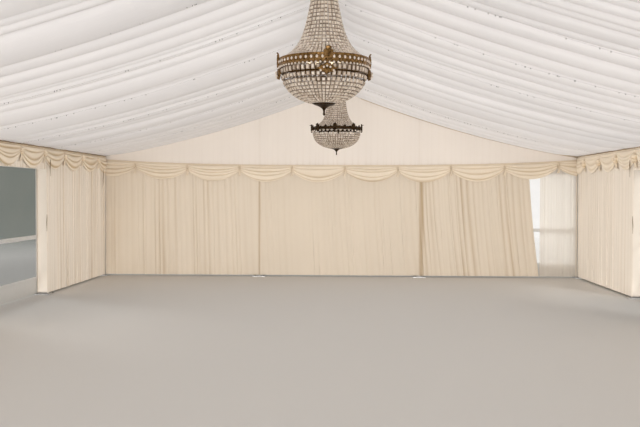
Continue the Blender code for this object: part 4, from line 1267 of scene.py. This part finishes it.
def plate_bolts():
    """Four hexagon-headed ground bolts on every base plate: a six-sided head on a round washer."""
    feet = [(sign * LEG_MIDDLE, y) for y in PORTALS for sign in (-1, 1)]
    feet += [(sign * POST_AT, end * HALF_LENGTH) for end in (-1, 1) for sign in (-1, 1)]
    corners = [(a, b) for a in (-BOLT_OUT, BOLT_OUT) for b in (-BOLT_OUT, BOLT_OUT)]
    spots = np.array([(x + a, y + b, PLATE) for x, y in feet for a, b in corners])
    washer = turned([(0.004, 0.003), (0.018, 0.003), (0.019, 0.0015), (0.019, 0.0)], 0, 16, top=True)
    head = turned([(0.004, 0.013), (0.0105, 0.013), (0.012, 0.011), (0.012, 0.003)], 0, 6, top=True)
    add_piece("ground_bolts", *copies(*joined([washer, head]), spots, np.eye(3)), STEEL, soft=False)


def bare_metal():
    """The frame's own pieces keep their shape and get the aluminium."""
    for name, node in frame["nodes"].items():
        if name.startswith(("portal_frame", "gable_post", "eave_rail", "ridge_rail")):
            node.data.materials.clear()
            node.data.materials.append(ALUMINIUM[0])


# ---------------------------------------------------------------- light, floor and camera

DAYLIGHT = (1, 0.975, 0.94)


def gathered_in(label, names):
    """A collection of pieces that a light is linked to. It isn't part of the scene."""
    kept = bpy.data.collections.new(label)
    for name in names:
        kept.objects.link(bpy.data.objects[name])
    return kept


def shut_out(collection):
    """Marks the pieces of a light's collection as left out, and all others as in."""
    for entry in collection.collection_objects:
        entry.light_linking.link_state = "EXCLUDE"


def named(*starts):
    """Names of the objects that start in one of the given ways."""
    return [name for name in bpy.data.objects.keys() if name.startswith(starts)]


def new_light(name, kind, rotation, power, colour, lit):
    """A light, which lights only the pieces that are named, where any are."""
    lamp = bpy.data.lights.new(name, kind)
    lamp.energy, lamp.color = power, colour
    light = bpy.data.objects.new(name, lamp)
    light.rotation_euler = rotation
    bpy.context.scene.collection.objects.link(light)
    if lit:
        light.light_linking.receiver_collection = gathered_in(f"{name}_lights", lit)
    return light


def area_light(name, location, rotation, size, power, colour=(1, 1, 1), lit=()):
    """A soft rectangular light that the camera doesn't see."""
    light = new_light(name, "AREA", rotation, power, colour, lit)
    light.data.shape = "RECTANGLE"
    light.data.size, light.data.size_y = size
    light.location = location
    light.visible_camera = False
    return light


def raking_light(name, power, rise, lit=()):
    """A low soft light along the tent from behind the camera. The near gable and the floor don't stop it."""
    light = new_light(name, "SUN", (math.radians(90 + rise), 0, 0), power, (1, 0.97, 0.94), lit)
    light.data.angle = math.radians(25)
    passed = gathered_in(f"{name}_passes", named(
        "coated_gable_near", "ivory_upper_lining_near", "ivory_lining_near", "ivory_band_near", "swag_pelmet_near",
        "clear_window_near", "window_near_left_border", "window_near_right_border", "gable_post_near", "floor"))
    light.light_linking.blocker_collection = passed
    shut_out(passed)


def lights():
    """Daylight through the roof lining, soft light from behind the camera and on each wall, daylight behind the
    far gable's parting, and soft lights outside."""
    level, rise = math.radians(90), LINING_RIDGE - LINING_EAVE
    fall, out = math.atan(rise / LINING_REACH), 2.23
    for sign in (-1, 1):
        above = LINING_EAVE + rise * (1 - out / LINING_REACH) + 0.045
        area_light(f"daylight_{sign}", (sign * out, 0, above), (0, sign * fall, 0), (4.5, 17.85), 110 - 2 * sign,
                   (1, 0.985, 0.975))
    area_light("soft_front", (0, -8.8, 1.45), (level, 0, 0), (7.5, 1.7), 20, (1, 0.97, 0.93))
    area_light("soft_down", (0, 0, 2.12), (0, 0, 0), (7.6, 16.5), 90, (1, 0.975, 0.945))
    for side, sign, power in (("right", 1, 350), ("left", -1, 250)):
        lit = named(*(f"{kind}_{side}" for kind in ("ivory_lining", "ivory_band", "swag_pelmet", "tied_curtain",
                                                    "curtain_tie", "lining_binding")))
        area_light(f"{side}_wall_light", (-sign * 4.1, 3.5, 1.3), (level, 0, -level * sign), (9, 1.5), power,
                   DAYLIGHT, lit)
    area_light("upper_gable_light", (0, 5.2, 1.5), (math.radians(99), 0, 0), (8, 0.8), 58, (1, 0.98, 0.95),
               ["ivory_upper_lining_far", "swag_pelmet_far", "swag_pelmet_far_gathers"])
    area_light("lower_gable_light", (-0.5, 5.2, 1.2), (level, 0, 0), (8, 0.8), 36, DAYLIGHT,
               ["ivory_lining_far_left"])
    area_light("far_daylight", (3.2, 10.1, 1.3), (-level, 0, 0), (2.8, 2.2), 32, (1, 0.985, 0.965),
               ["ivory_lining_far_right", "ivory_band_far"])
    solid = [piece.name for piece in bpy.data.objects if piece.type == "MESH" and not piece.name.startswith("clear_")]
    beyond = area_light("parting_daylight", (3.675, 9.085, 1.1), (-level, 0, 0), (0.35, 1.66), 1.14, (1, 0.95, 0.925),
                        solid)
    beyond.visible_camera = beyond.visible_transmission = True
    shut_out(beyond.light_linking.receiver_collection)
    raking_light("front_sun", 0.7, 18)
    raking_light("raking_sun", 1.5, 16, named(
        "white_roof_lining", "swag_pelmet_left", "swag_pelmet_right", "ivory_lining_left", "ivory_lining_right",
        "leg_wrap", "tied_curtain", "ivory_band_left", "ivory_band_right"))
    for name, place, power in (("studio_key", (20, -24, 22), 5200), ("studio_fill", (-24, 20, 16), 2400)):
        area_light(name, place, Vector(place).to_track_quat("Z", "Y").to_euler(), (9, 9), power)


def world():
    """Studio surroundings: grey, a little darker upwards, with a grey-green patch beyond the left window."""
    sky = bpy.data.worlds.new("studio")
    bpy.context.scene.world = sky
    sky.use_nodes = True
    n = Nodes(sky.node_tree)
    way = n.add("TexCoord").outputs["Generated"]
    up = n.add("SeparateXYZ", None, way).outputs["Z"]
    ahead = n.add("VectorMath", {"operation": "DOT_PRODUCT"}, way, (-0.37, 0.929, 0.0)).outputs["Value"]
    height = n.math("DIVIDE", n.math("ABSOLUTE", n.math("ADD", up, 0.012)), 0.11)
    patch = n.math("MULTIPLY", n.greys(ahead, 0.988, 0.0, 0.9985, 1.0), n.greys(height, 0.5, 1.0, 1.0, 0.0))
    tone = n.mix(patch, n.greys(up, 0.0, 0.46, 0.5, 0.34), (0.19, 0.205, 0.185, 1))
    n.add("OutputWorld", None, n.add("Background", None, tone, 1.0))


def floor():
    """A plain pale floor, a disc that fades out at its rim."""
    material, n = new_material("pale_floor")
    reach = 25.0
    away = n.add("VectorMath", {"operation": "LENGTH"}, n.place()).outputs["Value"]
    fade = n.greys(n.math("DIVIDE", away, reach), 0.62, 0.0, 1.0, 1.0)
    face = n.face(Base_Color=(0.64, 0.63, 0.61, 1), Roughness=0.9, Specular_IOR_Level=0.0)
    n.finish(n.both(fade, face, n.add("BsdfTransparent")))
    mesh = bpy.data.meshes.new("floor")
    mesh.from_pydata(about(0, reach, circle(96), -0.001).tolist(), [], [list(range(96))])
    mesh.materials.append(material)
    ground = bpy.data.objects.new("floor", mesh)
    bpy.context.scene.collection.objects.link(ground)


def camera():
    """The photograph's viewpoint: 46.8 mm on a 36 mm sensor, 2.4 m in from the doorway at eye height. It looks
    a little to the left and down, in degrees of yaw, pitch and roll."""
    yaw, pitch, roll = (math.radians(a) for a in (2.082, 1.391, 0.145))
    ahead = np.array([-math.sin(yaw) * math.cos(pitch), math.cos(yaw) * math.cos(pitch), -math.sin(pitch)])
    level = np.array([math.cos(yaw), math.sin(yaw), 0.0])
    above = np.cross(level, ahead)
    turn = np.eye(4)
    turn[:3, 0] = level * math.cos(roll) + above * math.sin(roll)
    turn[:3, 1] = -level * math.sin(roll) + above * math.cos(roll)
    turn[:3, 2], turn[:3, 3] = -ahead, (0.212, -6.664, 1.569)
    lens = bpy.data.cameras.new("camera")
    lens.sensor_width, lens.lens = 36.0, 46.8
    lens.clip_start, lens.clip_end = 0.05, 400.0
    view = bpy.data.objects.new("camera", lens)
    view.matrix_world = Matrix(turn.tolist())
    bpy.context.scene.collection.objects.link(view)
    bpy.context.scene.camera = view


# ---------------------------------------------------------------- the tent

camera()
bare_metal()
roof_lining("left", -1, LEFT_CREASES, 21, far_shade=0.55)
roof_lining("right", 1, RIGHT_CREASES, 22, far_shade=0.14)
side_linings("left", 40, deep=0.022, shade=1.2, band_shade=1.8)
side_wall("left", -1)
side_linings("right", 60, deep=0.012, shade=0.45, band_shade=0.8)
side_wall("right", 1)
leg_wraps()
corner_seams()
gable_hems()
gable_linings()
for label, sign in ENDS:
    gable_wall(label, sign)
pelmets()
for number, (label, lamp) in enumerate(LAMPS.items()):
    chandelier(label, lamp, 200 + number)
fairy_lights()
for number in range(1, BAYS + 1):
    cover_section(number)
cover_seams()
windows()
plate_bolts()
floor()
lights()
world()

bpy.context.scene.view_settings.view_transform = "Standard"
bpy.context.scene.cycles.diffuse_bounces = 8
